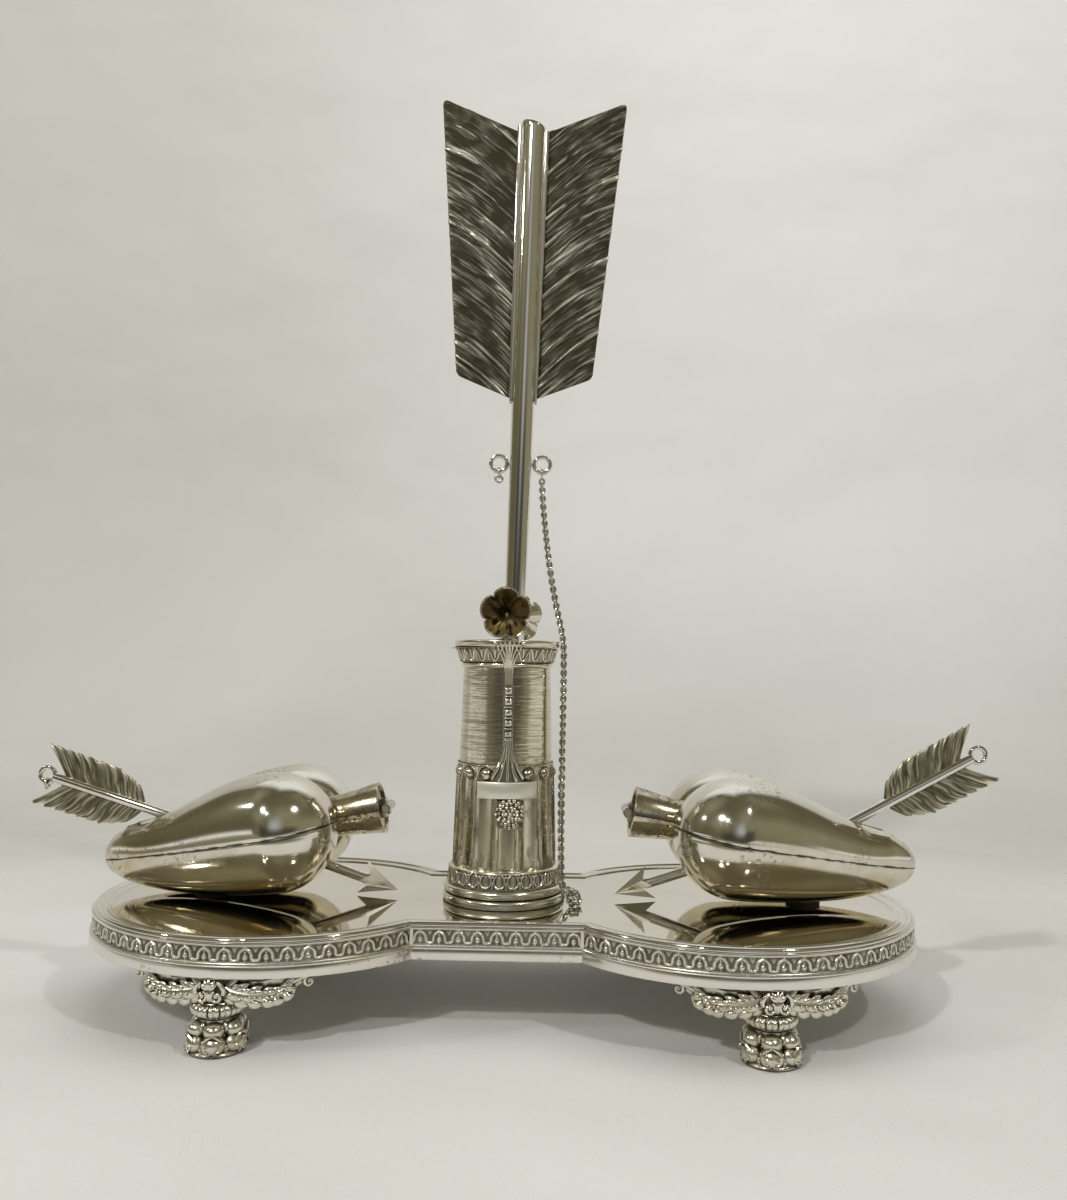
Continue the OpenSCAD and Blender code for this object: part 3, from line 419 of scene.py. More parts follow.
def glassFinish():
    g = Graph(bpy.data.materials.new("linerGlass"))
    cloud = g.noise(g.place(), 90, 3, 0.5)
    tint = g.mix(cloud, (0.93, 0.96, 0.95), (0.86, 0.91, 0.89))
    return g.finish({"Base Color": tint, "Roughness": 0.03 + cloud * 0.05, "IOR": 1.5,
        "Transmission Weight": 1}, cloud, 0.3, 0.0001)


finish["glass"] = glassFinish()
print("finishes ready")

view = dict(place=(14.6, -307.8, 98.3), yaw=-0.022, pitch=-0.065, roll=0.014, lens=30)


def placeCamera(v):
    yaw, pitch, roll = v["yaw"], v["pitch"], v["roll"]
    ahead = np.array([math.sin(yaw) * math.cos(pitch), math.cos(yaw) * math.cos(pitch),
        -math.sin(pitch)])
    level = np.array([math.cos(yaw), -math.sin(yaw), 0.0])
    upright = np.cross(level, ahead)
    side = math.cos(roll) * level + math.sin(roll) * upright
    top = -math.sin(roll) * level + math.cos(roll) * upright
    data = bpy.data.cameras.new("camera")
    data.lens, data.sensor_width, data.clip_start = v["lens"], 36, 0.01
    eye = linked("camera", data)
    rows = [[side[i], top[i], -ahead[i], v["place"][i] * 0.001] for i in range(3)]
    eye.matrix_world = Matrix(rows + [[0, 0, 0, 1]])
    bpy.context.scene.camera = eye


placeCamera(view)

chain = dict(half=1, width=0.75, wire=0.35, pitch=1.3, route=((9.9, 0, 155.6), (10.4, 0, 148),
    (11.2, -0.2, 140), (12.2, -0.4, 132), (13.4, -0.6, 124), (15, -1, 116), (16.6, -1.6, 109),
    (17.3, -2.2, 103.5), (17.4, -2.8, 97.5), (17.4, -3.4, 91.5), (17.3, -4, 85.5),
    (17.3, -4.6, 79.5), (17.2, -5.2, 73.5), (17.2, -5.8, 67.5), (17.1, -6.4, 61.5),
    (17.1, -7, 55.5), (17.1, -7.6, 49.5), (17.2, -8.3, 43.5), (17.3, -8.9, 38.5),
    (17.6, -9.4, 34.2), (18.6, -10, 30.8), (20.6, -10.4, 29.4), (22.6, -9.2, 29.3),
    (22.4, -6.8, 30.4), (20.8, -5.8, 31.8), (20.4, -3.6, 30.4), (20.9, -0.8, 29.3),
    (20.9, 2.4, 29.3), (20.4, 5.6, 29.3), (19.2, 8.6, 29.3)))


def makeChain(c):
    line = smoothRoute(c["route"])
    at = np.concatenate([[0], np.cumsum(np.linalg.norm(np.diff(line, axis=0), axis=1))])
    spot = lambda s: np.array([np.interp(s, at, line[:, i]) for i in range(3)])
    u = circle(14)
    f = Form()
    ref = np.array([0.0, 1.0, 0.0])
    for k in range(int(at[-1] / c["pitch"]) + 1):
        s = (k + 0.4) * c["pitch"]
        along = spot(s + 0.5) - spot(s - 0.5)
        along /= np.linalg.norm(along) + 1e-9
        ref = ref - along * np.dot(ref, along)
        ref /= np.linalg.norm(ref)
        turn = (k % 2) * pi / 2 + 0.35 * math.sin(k * 0.13)
        across = np.cross(along, ref) * math.cos(turn) + ref * math.sin(turn)
        f.tube(spot(s) + np.outer(np.cos(u) * c["half"], along) + np.outer(np.sin(u) * c["width"],
            across), c["wire"], sides=7, closed=True)
    piece = makePiece(f, "chainLinks", "chain", "chain", body="arrow", sharp=38)
    line = line * 0.001


makeChain(chain)
print("camera and chain ready")

room = dict(front=-700, bend=260, radius=300, top=1100, half=1100)


def makeBackdrop(r):
    profile = [(r["front"], 0)] + arcLine(r["bend"], r["radius"], r["radius"], -90, 0, 18)
    profile.append((r["bend"] + r["radius"], r["top"]))
    f = Form()
    f.grid([[(x, y, z) for x in np.linspace(-r["half"], r["half"], 40)] for y, z in profile])
    data = bpy.data.meshes.new("backdropCloth")
    data.from_pydata((f.all() * 0.001).tolist(), [], f.faces)
    data.shade_smooth()
    g = Graph(bpy.data.materials.new("backdropCloth"))
    place = g.place()
    folds = g.stretched(place, (1.6, 2.4, 2.4), 3, scale=2.2)
    weave = g.stretched(place, (1400, 500, 500), 1)
    aside, depth, up = (g.axis(place, k) for k in range(3))
    # painted light and shade of the folds: the floor is lighter on the fold tops and darker in the
    # creases
    near = g.mix(g.spread(folds, 0.3, 0.7), (0.63, 0.625, 0.61), (0.72, 0.715, 0.705))
    # painted light: the wall grows lighter towards the right
    far = g.mix(g.spread(aside + folds * 0.2, -0.25, 0.35), (0.74, 0.735, 0.715),
        (0.95, 0.955, 0.965))
    # painted light: the backdrop grows lighter upwards from the floor to the wall
    tone = g.mix(g.spread(up, 0, 0.25) * 0.9, near, far)
    # painted shade: near black cloth in front of the object and towards the front left, standing
    # for the unlit room on the camera side
    front = g.spread(depth * -1, 0.195, 0.25) * (1 - g.spread(abs(aside), 0.22, 0.42))
    left = g.spread(0 - aside - depth * 0.6, 0.3, 0.4) * (1 - g.spread(depth, 0, 0.1))
    left = left * (1 - g.spread(0 - aside, 0.4, 1))
    tone = g.mix((front + left).clamped(), tone, (0.17, 0.155, 0.105))
    data.materials.append(g.finish({"Base Color": tone, "Roughness": 0.85},
        folds * 40 + weave * 0.25, 0.6, 0.001))
    linked("backdropCloth", data)


lamps = dict(
    lampLeft=dict(size=0.065, place=(-0.48, -0.82, 0.86), power=4.8),
    lampRight=dict(size=0.065, place=(0.62, -0.62, 0.98), power=3),
    lampFarLeft=dict(size=0.065, place=(-1, -0.35, 0.75), power=1.1),
    lampNearLeft=dict(size=0.04, place=(-0.3, -0.95, 0.8), power=0.8),
    softTop=dict(size=1.3, place=(0.1, 0.05, 1.35), power=4.9))


def makeLamp(name, size, place, power):
    data = bpy.data.lights.new(name, "AREA")
    data.shape, data.size = "DISK", size
    data.energy, data.color = power, (1, 0.988, 0.968)
    item = linked(name, data)
    item.location = place
    item.visible_glossy = size < 1
    way = Vector((0, 0, 0.05)) - Vector(place)
    item.rotation_euler = way.to_track_quat("-Z", "Y").to_euler()


def makeWorld():
    world = bpy.data.worlds.new("room")
    bpy.context.scene.world = world
    g = Graph(world)
    way = g.add("TexCoord")
    x, y, z = (g.axis(way, k) for k in range(3))
    cloth = g.spread(y - abs(x) * 0.55, -0.12, 0.2)
    bearing = g.add("Math", {0: x, 1: y * -1}, operation="ARCTAN2")
    wide = abs(bearing - 0.12)
    lowSide = g.spread(wide, 0.9, 1.06) * g.spread(z * -1, -0.08, 0.03)
    strip = (1 - g.spread(abs(bearing - 0.1), 0, 0.34)) * g.spread(z, 0.04, 0.3)
    strip = strip * (1 - g.spread(z, 0.3, 0.64))
    dusk = (1 - g.spread(wide, 0.5, 0.8)) * (1 - g.spread(abs(z - 0.05), 0.1, 0.26))
    cloud = g.spread(g.noise(way, 1.6, 1, 0.4), 0.3, 0.75)
    tone = g.mix(cloud, (0.12, 0.106, 0.062), (0.25, 0.23, 0.15))
    tone = g.mix(dusk * 0.8, tone, (0.05, 0.044, 0.046))
    tone = g.mix((cloth + lowSide).clamped(), tone, (0.86, 0.85, 0.825))
    tone = g.mix(strip, tone, (0.42, 0.44, 0.46))
    tone = g.mix(g.spread(z * -1, 0.06, 0.2), tone, (0.55, 0.54, 0.5))
    g.output(g.add("Background", {"Color": tone, "Strength": 1}), "OutputWorld")


makeBackdrop(room)
for name, lamp in lamps.items():
    makeLamp(name, **lamp)
makeWorld()
bpy.context.scene.view_settings.view_transform = "Standard"
print("room ready")


def outline(d, arc=300, bar=24):
    r, h = plan["lobeR"] + d, plan["barW"] / 2 + d
    a = math.asin(h / r)
    t = np.linspace(-(pi - a), pi - a, arc)
    right = np.stack([plan["lobeX"] + r * np.cos(t), r * np.sin(t)], 1)
    x = np.linspace(right[-1, 0], -right[-1, 0], bar + 2)[1:-1]
    rear = np.stack([x, np.full(bar, h)], 1)
    return np.concatenate([right, rear, -right, -rear])


def makeEdge(profile, *names):
    # a moulding whose section of (outward, height) runs round the whole plate
    rings = []
    for d, z in profile:
        p = outline(d)
        rings.append(np.column_stack([p, np.full(len(p), z)]))
    f = Form()
    f.grid(rings, closeV=True)
    makePiece(f, *names, sharp=40)


border = dict(inner=[(-5.6, 28.12), (-5.2, 28.12), (-5.05, 28.45), (-4.6, 28.52), (-4.35, 28.48),
    (-4.2, 28.3), (-4.05, 28.48), (-3.6, 28.56), (-2.5, 28.6), (-2.25, 28.45)],
    bead=(-1.2, 28.15, 0.95, 150, -35, 14), outer=[(-0.3, 27.75), (-0.1, 27.85), (0.15, 27.9),
    (0.36, 27.8), (0.42, 27.6), (0.4, 27.35), (0.25, 27.22), (-0.4, 27.2)])
flange = [(-1.2, 19.24), (0.45, 19.24), (0.68, 19.3), (0.78, 19.5), (0.8, 20.6), (0.78, 21.9),
    (0.7, 22.12), (0.5, 22.2), (0.42, 22.28), (0.5, 22.42), (0.46, 22.6), (0.3, 22.72),
    (0.05, 22.76), (-0.3, 22.76)]
frieze = dict(low=22.7, high=27.2, fillet=0.45, deep=-0.34, proud=0.1, relief=0.42, line=0.4,
    arcCells=51, barCells=9, half=2.6, ogee=((0, 3.4), (0.5, 3.1), (1.05, 2.75), (1.45, 2.25),
    (1.58, 1.7), (1.6, 1.1), (1.8, 0.6), (2.15, 0.38), (2.6, 0.42)))


def friezeDepth(s, z, pitch, v):
    cell = np.floor(s / pitch)
    x = np.abs((s / pitch) % 1 - 0.5) * 2 * v["half"]
    vary = np.sin(cell * 12.9898) * 43758.5453
    vary = vary - np.floor(vary)
    y = z - v["low"] - v["fillet"] + 0.1 * (vary - 0.5)
    curve, drop = ridge(x, y, v["ogee"], v["line"]), ovalBump(x, y - 1.15, 0.7, 0.8)
    stem, foot = ridge(x, y, ((0, 1.9), (0, 2.55)), 0.22), ringBump(np.hypot(x, y - 0.22), 0.26)
    top = ridge(x, y, ((2.25, 3.35), (2.6, 2.6)), 0.26)
    h = np.maximum.reduce([curve, drop * 1.05, stem * 0.7, foot * 0.6, top * 0.55])
    d = v["deep"] + v["relief"] * h * (0.86 + 0.28 * vary)
    low = smoothStep((z - v["low"]) / v["fillet"] * -1 + 1.15)
    high = smoothStep(1.15 - (v["high"] - z) / v["fillet"])
    edge = np.maximum(low, high)
    return d * (1 - edge) + v["proud"] * edge, np.maximum(h, edge)


def friezeRows(length, n, cells, v):
    S, Z = mesh(0, length, n, v["low"], v["high"], 36)
    return S, Z, *friezeDepth(S, Z, length / cells, v)


def makeStrip(f, name):
    makePiece(f, "friezeStrip" + name, "frieze_" + name.lower(), "frieze", sharp=60)


def makeFrieze(v):
    a = math.asin(plan["barW"] / 2 / plan["lobeR"])
    reach = (pi - a) * plan["lobeR"]
    S, Z, d, crest = friezeRows(2 * reach, 1330, v["arcCells"], v)
    t = (S - reach) / plan["lobeR"]
    r = plan["lobeR"] + d
    for side in (1, -1):
        f = Form()
        f.grid(np.stack([side * (plan["lobeX"] + r * np.cos(t)), side * r * np.sin(t), Z], -1),
            crest=crest)
        makeStrip(f, sideName(side))
    half = plan["lobeX"] - plan["lobeR"] * math.cos(a)
    S, Z, d, crest = friezeRows(2 * half, 250, v["barCells"], v)
    for side, name in ((-1, "Front"), (1, "Rear")):
        f = Form()
        f.grid(np.stack([side * (half - S), side * (plan["barW"] / 2 + d), Z], -1), crest=crest)
        for end in (-1, 1):
            x = sorted((end * (half - 0.75), end * (half - 0.75) + end * 0.9))
            y = sorted(side * (plan["barW"] / 2 + out) for out in (-0.3, v["proud"] + 0.04))
            f.box((x[0], y[0], v["low"]), (x[1], y[1], v["high"] - 0.03))
        makeStrip(f, name)


makeEdge(border["inner"] + arcLine(*border["bead"]) + border["outer"], "plateMoulding",
    "plate_border", "rod")
makeEdge(flange, "flangeBand", None, "band")
makeFrieze(frieze)
print("platform ready")

foot = dict(reach=48.9, turn=5.4, wingR=50.7, lobes=6, beads=26, collarZ=10.8)


def spiral(cx, cz, y, r0, r1, turns, start, n=22):
    a = np.linspace(0, turns * 2 * pi, n)
    r = np.linspace(r0, r1, n)
    return np.stack([cx + r * np.cos(a + start), np.full(n, y), cz + r * np.sin(a + start)], 1)


def leafTube(f, x, z, y, angle, length, width, thick=0.55, curl=0, n=8):
    t = np.linspace(0, 1, n)
    a = math.radians(angle) + curl * t
    step = length / (n - 1)
    px = x + np.concatenate([[0], np.cumsum(np.cos(a[:-1]) * step)])
    pz = z + np.concatenate([[0], np.cumsum(np.sin(a[:-1]) * step)])
    r = width / 2 * np.sin(pi * (0.12 + 0.86 * t) ** 0.85) + 0.06
    f.tube(np.stack([px, np.full(n, y) - 0.35 * np.sin(t * pi), pz], 1), r, flat=thick)


def wingForm():
    f = Form()
    spine = smoothRoute(((3, -1.2, 15.4), (5, -1.7, 14.7), (7.5, -1.9, 14.3), (10, -2, 14.1),
        (12.5, -2, 14.1), (14.5, -1.9, 14.3), (16.3, -1.7, 14.8), (17.8, -1.5, 15.6),
        (18.9, -1.3, 16.6)), 4)
    n = len(spine)
    f.tube(spine, 1.9 * (1 - 0.4 * np.linspace(0, 1, n)), sides=12, flat=0.7)
    for k in range(13):
        x, y, z = spine[int((k + 0.5) * n / 13.5)]
        f.ball((x, y - 1.35 + 0.03 * k, z + 0.15), 0.52 - 0.01 * k, n=8)
    feathers = [(k / 5, spine[int((k + 0.4) * n / 7)]) for k in range(6)]
    for q, (x, y, z) in feathers:
        leafTube(f, x - 0.3, z - 0.4, y - 0.2, -58 + 34 * q, 3.8 - 0.5 * q, 3 - 0.6 * q, 0.5, 0.75)
        leafTube(f, x + 0.2, z - 0.3, y - 0.75, -52 + 34 * q, 3.2 - 0.5 * q, 0.7, 0.9, 0.75)
    for q, (x, y, z) in feathers:
        leafTube(f, x, z + 0.4, y + 0.2, 66 - 24 * q, 4 - 1.3 * q, 2.4 - 0.4 * q, 0.5, -0.8)
        leafTube(f, x + 0.9, z + 0.6, y - 0.3, 42 - 18 * q, 2.8 - 0.8 * q, 1.5, 0.6, -0.7)
    low = np.array(((2.6, 13.4), (5, 13.2), (7.4, 12.9), (9.5, 12.3), (11.5, 12.2), (13.8, 12.7),
        (16, 13.2), (18, 14.1), (19.6, 15), (21.2, 16), (22.6, 16.8), (23.6, 18)))
    top = np.column_stack([low[:, 0], np.minimum(19.3, low[:, 1] + 5.2)])
    low = low + (0, 0.5)
    backing = ((low, -0.5), (top, -0.5), (top, 1.1), (low, 1.1))
    f.grid([np.column_stack([e[:, 0], np.full(len(e), y), e[:, 1]]) for e, y in backing],
        closeU=True)
    f.tube(spiral(18.9, 15.6, -1.7, 1.35, 0.25, 1.2, 1.4), np.linspace(0.62, 0.4, 22))
    f.ball((18.9, -1.9, 15.6), 0.6, n=8)
    f.tube(((15.5, -0.8, 14.9), (17.5, -1, 16.6), (19.6, -1, 17.7), (21.6, -0.9, 18.4),
        (23.2, -0.8, 18.5)), (0.6, 0.85, 0.8, 0.7, 0.5))
    f.tube(((17, -0.9, 15.9), (18.6, -1.1, 17.7), (19.9, -1, 19)), (0.6, 0.9, 0.4))
    f.tube(spiral(23.3, 17.1, -0.7, 1.4, 0.25, 1.2, 1.7), np.linspace(0.52, 0.3, 22))
    f.ball((23.3, -0.8, 17.1), 0.45, n=8)
    return f


def footForm(v):
    f = Form()
    mid = (0, -v["reach"])
    f.revolve([(0, 0), (7, 0), (7.3, 0.25), (7.3, 0.7), (7, 1), (6.4, 1.3), (5, 1.6), (4.9, 8.5),
        (4.5, 8.7), (4.5, 9.3), (0, 9.4)], centre=mid, n=48)

    def onFoot(a, r, z):
        return (mid[0] + r * math.sin(a), mid[1] - r * math.cos(a), z)

    n = v["lobes"]
    turns, curl = np.linspace(0, 2.4 * pi, 20), np.linspace(1.15, 0.3, 20)
    for k in range(n):
        a = 2 * pi * k / n - 0.25
        between = a + pi / n
        f.ball(onFoot(a, 5.2, 2.7), (3.15, 2.95, 2.75), n=18, turn=a)
        f.ball(onFoot(a, 4.7, 6.1), (2.75, 3.05, 2.2), n=16, turn=a)
        f.ball(onFoot(between, 5.3, 1.7), (1.1, 1.4, 1.5), n=10, turn=between)
        f.ball(onFoot(between, 4.6, 6.9), (0.8, 1.9, 1.5), n=10, turn=between)
        for hand in (-1, 1):
            claw = [onFoot(a + hand * (0.16 - c * math.sin(w) / 7.9), 8 - 0.35 * c,
                2.2 - c * math.cos(w)) for w, c in zip(turns, curl)]
            f.tube(claw, np.linspace(0.42, 0.24, 20), sides=6)
        web = [onFoot(a + w, 7.75 - 5 * w * w, 4.7 + 0.8 * math.cos(w * 8))
            for w in np.linspace(-0.3, 0.3, 9)]
        f.tube(web, 0.34, sides=6)
    T, Z = np.meshgrid(circle(168), v["collarZ"] + 1.62 * np.sin(np.linspace(-pi / 2, pi / 2, 15)))
    beads = 0.5 + 0.5 * np.abs(np.sin(T * v["beads"] / 2)) ** 0.5
    R = 4.9 + 1.95 * ringBump(Z - v["collarZ"], 1.65) * beads
    f.grid(turned(R, T, Z) + (*mid, 0), closeV=True)
    f.revolve([(4.6, 9), (5.1, 9.1), (5.3, 9.3), (4.8, 9.5)], centre=mid, n=48)
    f.revolve([(4.7, 12.3), (5.3, 12.35), (5.45, 12.6), (5.3, 12.85), (4.4, 12.95), (4.1, 13.6),
        (3.9, 14.6), (4.1, 16), (4.6, 17.2), (5.6, 18.4), (6.5, 19.1), (6.6, 19.3)], centre=mid,
        n=48)
    y = mid[1] - 4.9
    for side in (-1, 1):
        f.tube(spiral(2, 14.7, y - 0.9, 1.55, 0.3, 1.35, pi / 2 + 0.4) * (side, 1, 1),
            np.linspace(0.48, 0.34, 22))
        f.ball((side * 2, y - 0.9, 14.7), 0.5, n=10)
        f.tube(((side * 3.5, y - 0.6, 15.2), (side * 3.7, y - 0.7, 16.3),
            (side * 3.2, y - 0.9, 17.4), (side * 2, y - 1.1, 18.3)), (0.5, 0.6, 0.55, 0.4))
    f.tube(((0, y + 0.5, 12.9), (0, y - 0.5, 14), (0, y - 0.8, 15.6), (0, y - 0.6, 16.8)),
        (0.5, 1.15, 0.95, 0.3), sides=12, flat=0.6)
    for k, (angle, length) in enumerate(((90, 2.6), (58, 2.7), (122, 2.7), (28, 2.5), (152, 2.5))):
        leafTube(f, 0, 16.6, y - 1.2, angle, length, 1.25, 0.6, 0.3 * math.sin(k))
    wing = wingForm()
    p = wing.all()
    for side in (-1, 1):
        a = side * p[:, 0] / v["wingR"]
        f.shape(turned(v["wingR"] - p[:, 1], a, p[:, 2]), wing.faces)
    return f


def makeFeet(v):
    form = footForm(v)
    for side in (-1, 1):
        for front, end in ((1, "Front"), (-1, "Rear")):
            def put(p):
                x, y = spun(p[:, 0], p[:, 1], math.radians(v["turn"]))
                return np.column_stack([side * x + side * plan["lobeX"], front * y, p[:, 2]])

            node = "foot_%s_%s" % (end.lower(), sideName(side).lower())
            makePiece(form, "clawFoot" + end + sideName(side), node, "cast", change=put, sharp=55)


makeFeet(foot)
print("feet ready")

quiver = dict(bodyR=15.3, stepR=14.3, drumR=14, neckR=13.3, low=38.7, stepZ=69, top=97.4,
    flutes=14, fluteHalf=2.7, fluteDeep=1.15, headZ=66.3, bossR=1.9)


def drumRadius(z):
    q = quiver
    flute = q["bodyR"] + (q["stepR"] - q["bodyR"]) * (z - q["low"]) / (q["stepZ"] - q["low"])
    drum = q["drumR"] + (q["neckR"] - q["drumR"]) * (z - q["stepZ"]) / (q["top"] - q["stepZ"])
    return np.where(z < q["stepZ"], flute, drum)


def around(x, z, r):
    # x in millimetres round the body from its front line
    return turned(r, x / r + frontTurn, z)


def fluteDepth(a, z, q):
    pitch = 2 * pi / q["flutes"]
    k = np.round(a / pitch)
    x = np.abs(a - k * pitch) * drumRadius(z)
    half, head = q["fluteHalf"], q["headZ"]
    away = np.sqrt(x ** 2 + np.clip(z - head + 0.6, 0, None) ** 2)
    depth = q["fluteDeep"] * np.clip(1 - (away / half) ** 2, 0, 1) ** 0.6
    depth = depth * smoothStep((z - 38.65) / 0.45)
    boss = dome((x ** 2 + (z - head) ** 2) / q["bossR"] ** 2) * 1.95
    rim = 0.22 * ringBump(away - half, 0.42) * (z > 41.5) * (z < head + half + 0.3)
    stem = 0.35 * ringBump(np.abs(x - pi * drumRadius(z) / q["flutes"]), 0.5)
    out = np.where(z < head - 1.5, stem, 0) + rim - depth
    return np.where((np.abs(k) > 0.5) & (boss > 0), np.maximum(out, boss - q["fluteDeep"] * 0.7),
        out)


def roundRows(n, *rows):
    return np.meshgrid(np.linspace(-pi, pi, n, endpoint=False), np.concatenate(rows))


def makeQuiverBody(q):
    f = Form()
    A, Z = roundRows(560, np.linspace(q["low"], 44, 34), np.linspace(44.3, 62, 40),
        np.linspace(62.2, q["stepZ"], 44))
    R = drumRadius(Z - 1e-6) + fluteDepth(A, Z, q) + 0.25 * ringBump(Z - 68.8, 0.35)
    f.grid(turned(R, A + frontTurn, Z), closeV=True)
    A, Z = roundRows(220, [q["stepZ"], 69.15, 69.35], np.linspace(69.7, q["top"], 60))
    dents = 0.05 * np.sin(3 * A + 0.11 * Z) + 0.04 * np.sin(5 * A - 0.17 * Z + 1.3)
    R = drumRadius(Z) + dents * smoothStep((Z - 69.5) / 6) * smoothStep((q["top"] - Z) / 4)
    f.grid(turned(R, A + frontTurn, Z), closeV=True, mark=1)
    seam = np.linspace(70, 97.2, 20)
    f.tube(around(13.6, seam, drumRadius(seam)), 0.28, sides=6, mark=2)
    makePiece(f, "quiverBody", "quiver_body", "flute drum tongue")


def relieved(f, rows, count, n, radius, height):
    # a turned band whose relief repeats count times round it
    A, Z = roundRows(n, rows)
    h = height(np.abs((A + pi) * count / (2 * pi) % 1 - 0.5) * 2, Z)
    f.grid(turned(radius(Z) + h, A + frontTurn, Z), closeV=True, crest=np.clip(h * 2.2, 0, 1))


def makeQuiverFoot():
    f = Form()
    plinth = [(0, 28.14), (18, 28.14), (18.3, 28.3), (18.35, 29), (18.3, 29.9), (18.1, 30.4),
        (17.5, 30.65), (16.9, 30.75)]
    f.revolve(plinth + arcLine(16.9, 32.1, 1.3, -88, 88, 12) + [(16.75, 33.5), (16.7, 33.8)])

    def height(u, z):
        x, y = u * 2.05, z - 34
        cup = ridge(x, y, ((0, 0.15), (0.7, 0.25), (1.25, 0.7), (1.55, 1.5), (1.6, 2.3),
            (1.35, 3.1), (0.8, 3.6)), 0.34)
        rib, leaf = ridge(x, y, ((0, 0.5), (0, 3.3)), 0.3), ovalBump(x, y - 2, 1.1, 1.7)
        dart = ridge(x, y, ((2.05, 0.1), (2.05, 1.6)), 0.34)
        top = ringBump(np.hypot(x - 2.05, y - 3.2), 0.5)
        return 0.5 * np.maximum.reduce([cup, rib * 0.9, leaf * 0.5, dart * 0.8, top * 0.7])

    relieved(f, np.linspace(33.8, 37.9, 34), 26, 832, lambda z: 16.75 - 0.12 * (z - 33.8), height)
    f.revolve([(16.2, 37.8), (16.75, 37.9), (16.85, 38.15), (16.7, 38.45), (16.2, 38.6),
        (15.2, 38.75), (14, 38.76)])
    makePiece(f, "quiverFoot", "quiver_foot", "cast")


capital = dict(offset=1.85, rimZ=103.15)


def makeCapital(v):
    f = Form()
    bead = arcLine(13.45, 98.15, 0.68, -80, 80, 9)
    f.revolve([(12.9, 97.2), (13.35, 97.35)] + bead + [(13.5, 98.9), (14.1, 99)])

    def height(u, z):
        x, y = u * 2.1, z - 99.2
        fold = ridge(x, y, ((0, 3.7), (0.5, 3), (1, 1.9), (1.5, 0.6), (1.95, 0.15)), 0.36)
        rib = ridge(x, y, ((0, 0.4), (0, 2.6)), 0.3)
        fill = ridge(x, y, ((2.1, 1.2), (2.1, 3.4)), 0.38)
        return 0.5 * np.maximum.reduce([fold, rib * 0.8, fill * 0.75])

    relieved(f, np.linspace(99, 103.3, 32), 22, 704, lambda z: 14 + 1.3 * ((z - 99) / 4.3) ** 1.3,
        height)
    f.revolve([(15.3, 103.2), (15.7, 103.35), (15.95, 103.6), (16.1, 103.8), (16.1, 105.2),
        (16, 105.45), (15.75, 105.6), (12.4, 105.55), (11.9, 105.35), (11.4, 105.55), (5.4, 105.6),
        (4.9, 105.45), (4.75, 105), (4.75, 92)], centre=(v["offset"], 0))

    def level(p):
        # the hole follows the leaning arrow while the rim stays round the body
        r = np.hypot(p[:, 0] - v["offset"], p[:, 1])
        shift = np.where((p[:, 2] > v["rimZ"]) | (r < 6), v["offset"] * smoothStep((r - 6) / 9), 0)
        return np.column_stack([p[:, 0] - shift, p[:, 1:]])

    makePiece(f, "quiverCapital", "quiver_capital", "capital", change=level)


def ribbons(f, lines, heights, outs, width, thick, sides=(-1, 1)):
    # raised ribs that follow points (x, z) over the drum
    for side in sides:
        for line in lines:
            p = smoothRoute([(side * x, z, 0) for x, z in line], 5)
            w = np.interp(np.linspace(0, 1, len(p)), np.linspace(0, 1, len(width)), width)
            r = drumRadius(p[:, 1]) + np.interp(p[:, 1], heights, outs)
            f.tube(around(p[:, 0], p[:, 1], r), w, flat=thick)


palmette = dict(heights=(92, 97.4, 99, 103.2, 104.5, 106), outs=(0.35, 0.5, 1.2, 2.3, 3.3, 3.4),
    fans=(((0.75, 92.4), (0.8, 96), (1.6, 99.6), (3, 102.6), (4, 104.4)),
    ((0.45, 94.5), (0.6, 98), (1.2, 101), (2.3, 103.6), (2.9, 105)),
    ((0.25, 97.5), (0.4, 100.5), (0.9, 103), (1.4, 105.2))))


def makePalmette(v):
    f = Form()
    ribbons(f, v["fans"], v["heights"], v["outs"], (0.34, 0.4, 0.42, 0.4, 0.3), 0.9)
    ribbons(f, [((0, 92.4), (0, 97), (0, 101), (0, 105.4))], v["heights"], v["outs"],
        (0.5, 0.5, 0.45, 0.4), 0.8, sides=(1,))
    X, Z = mesh(-1, 1, 13, 92.2, 105, 26)
    wide = np.interp(Z, (92.2, 96, 100, 105), (1.2, 1.3, 2.4, 4.1))
    r = drumRadius(Z) + np.interp(Z, v["heights"], v["outs"]) - 0.25 - 0.5 * np.abs(X) ** 4
    # the ground between the ribs gets a low crest, so the finish darkens it as tarnish with
    # painted shade
    f.grid(around(X * wide, Z, r), crest=np.full(X.shape, 0.08))
    for side in (-1, 1):
        f.ball(around(side * 4.1, 104.5, 16.9), 0.75, n=10)
    makePiece(f, "capitalPalmette", "quiver_palmette", "chased")


strap = dict(heights=(64, 68, 70, 78), outs=(1.1, 0.9, 0.75, 0.6), links=(1, 1, 0.95, 0.85, 0.75),
    leaf=(((0, 77), (0, 72), (0, 64.5)), ((0.5, 77), (0.75, 72.5), (1.5, 68.5), (2.3, 65.6),
    (2.7, 64.5)), ((0.95, 77), (1.3, 73), (2.4, 69.4), (3.9, 66.6), (4.7, 65.2))))


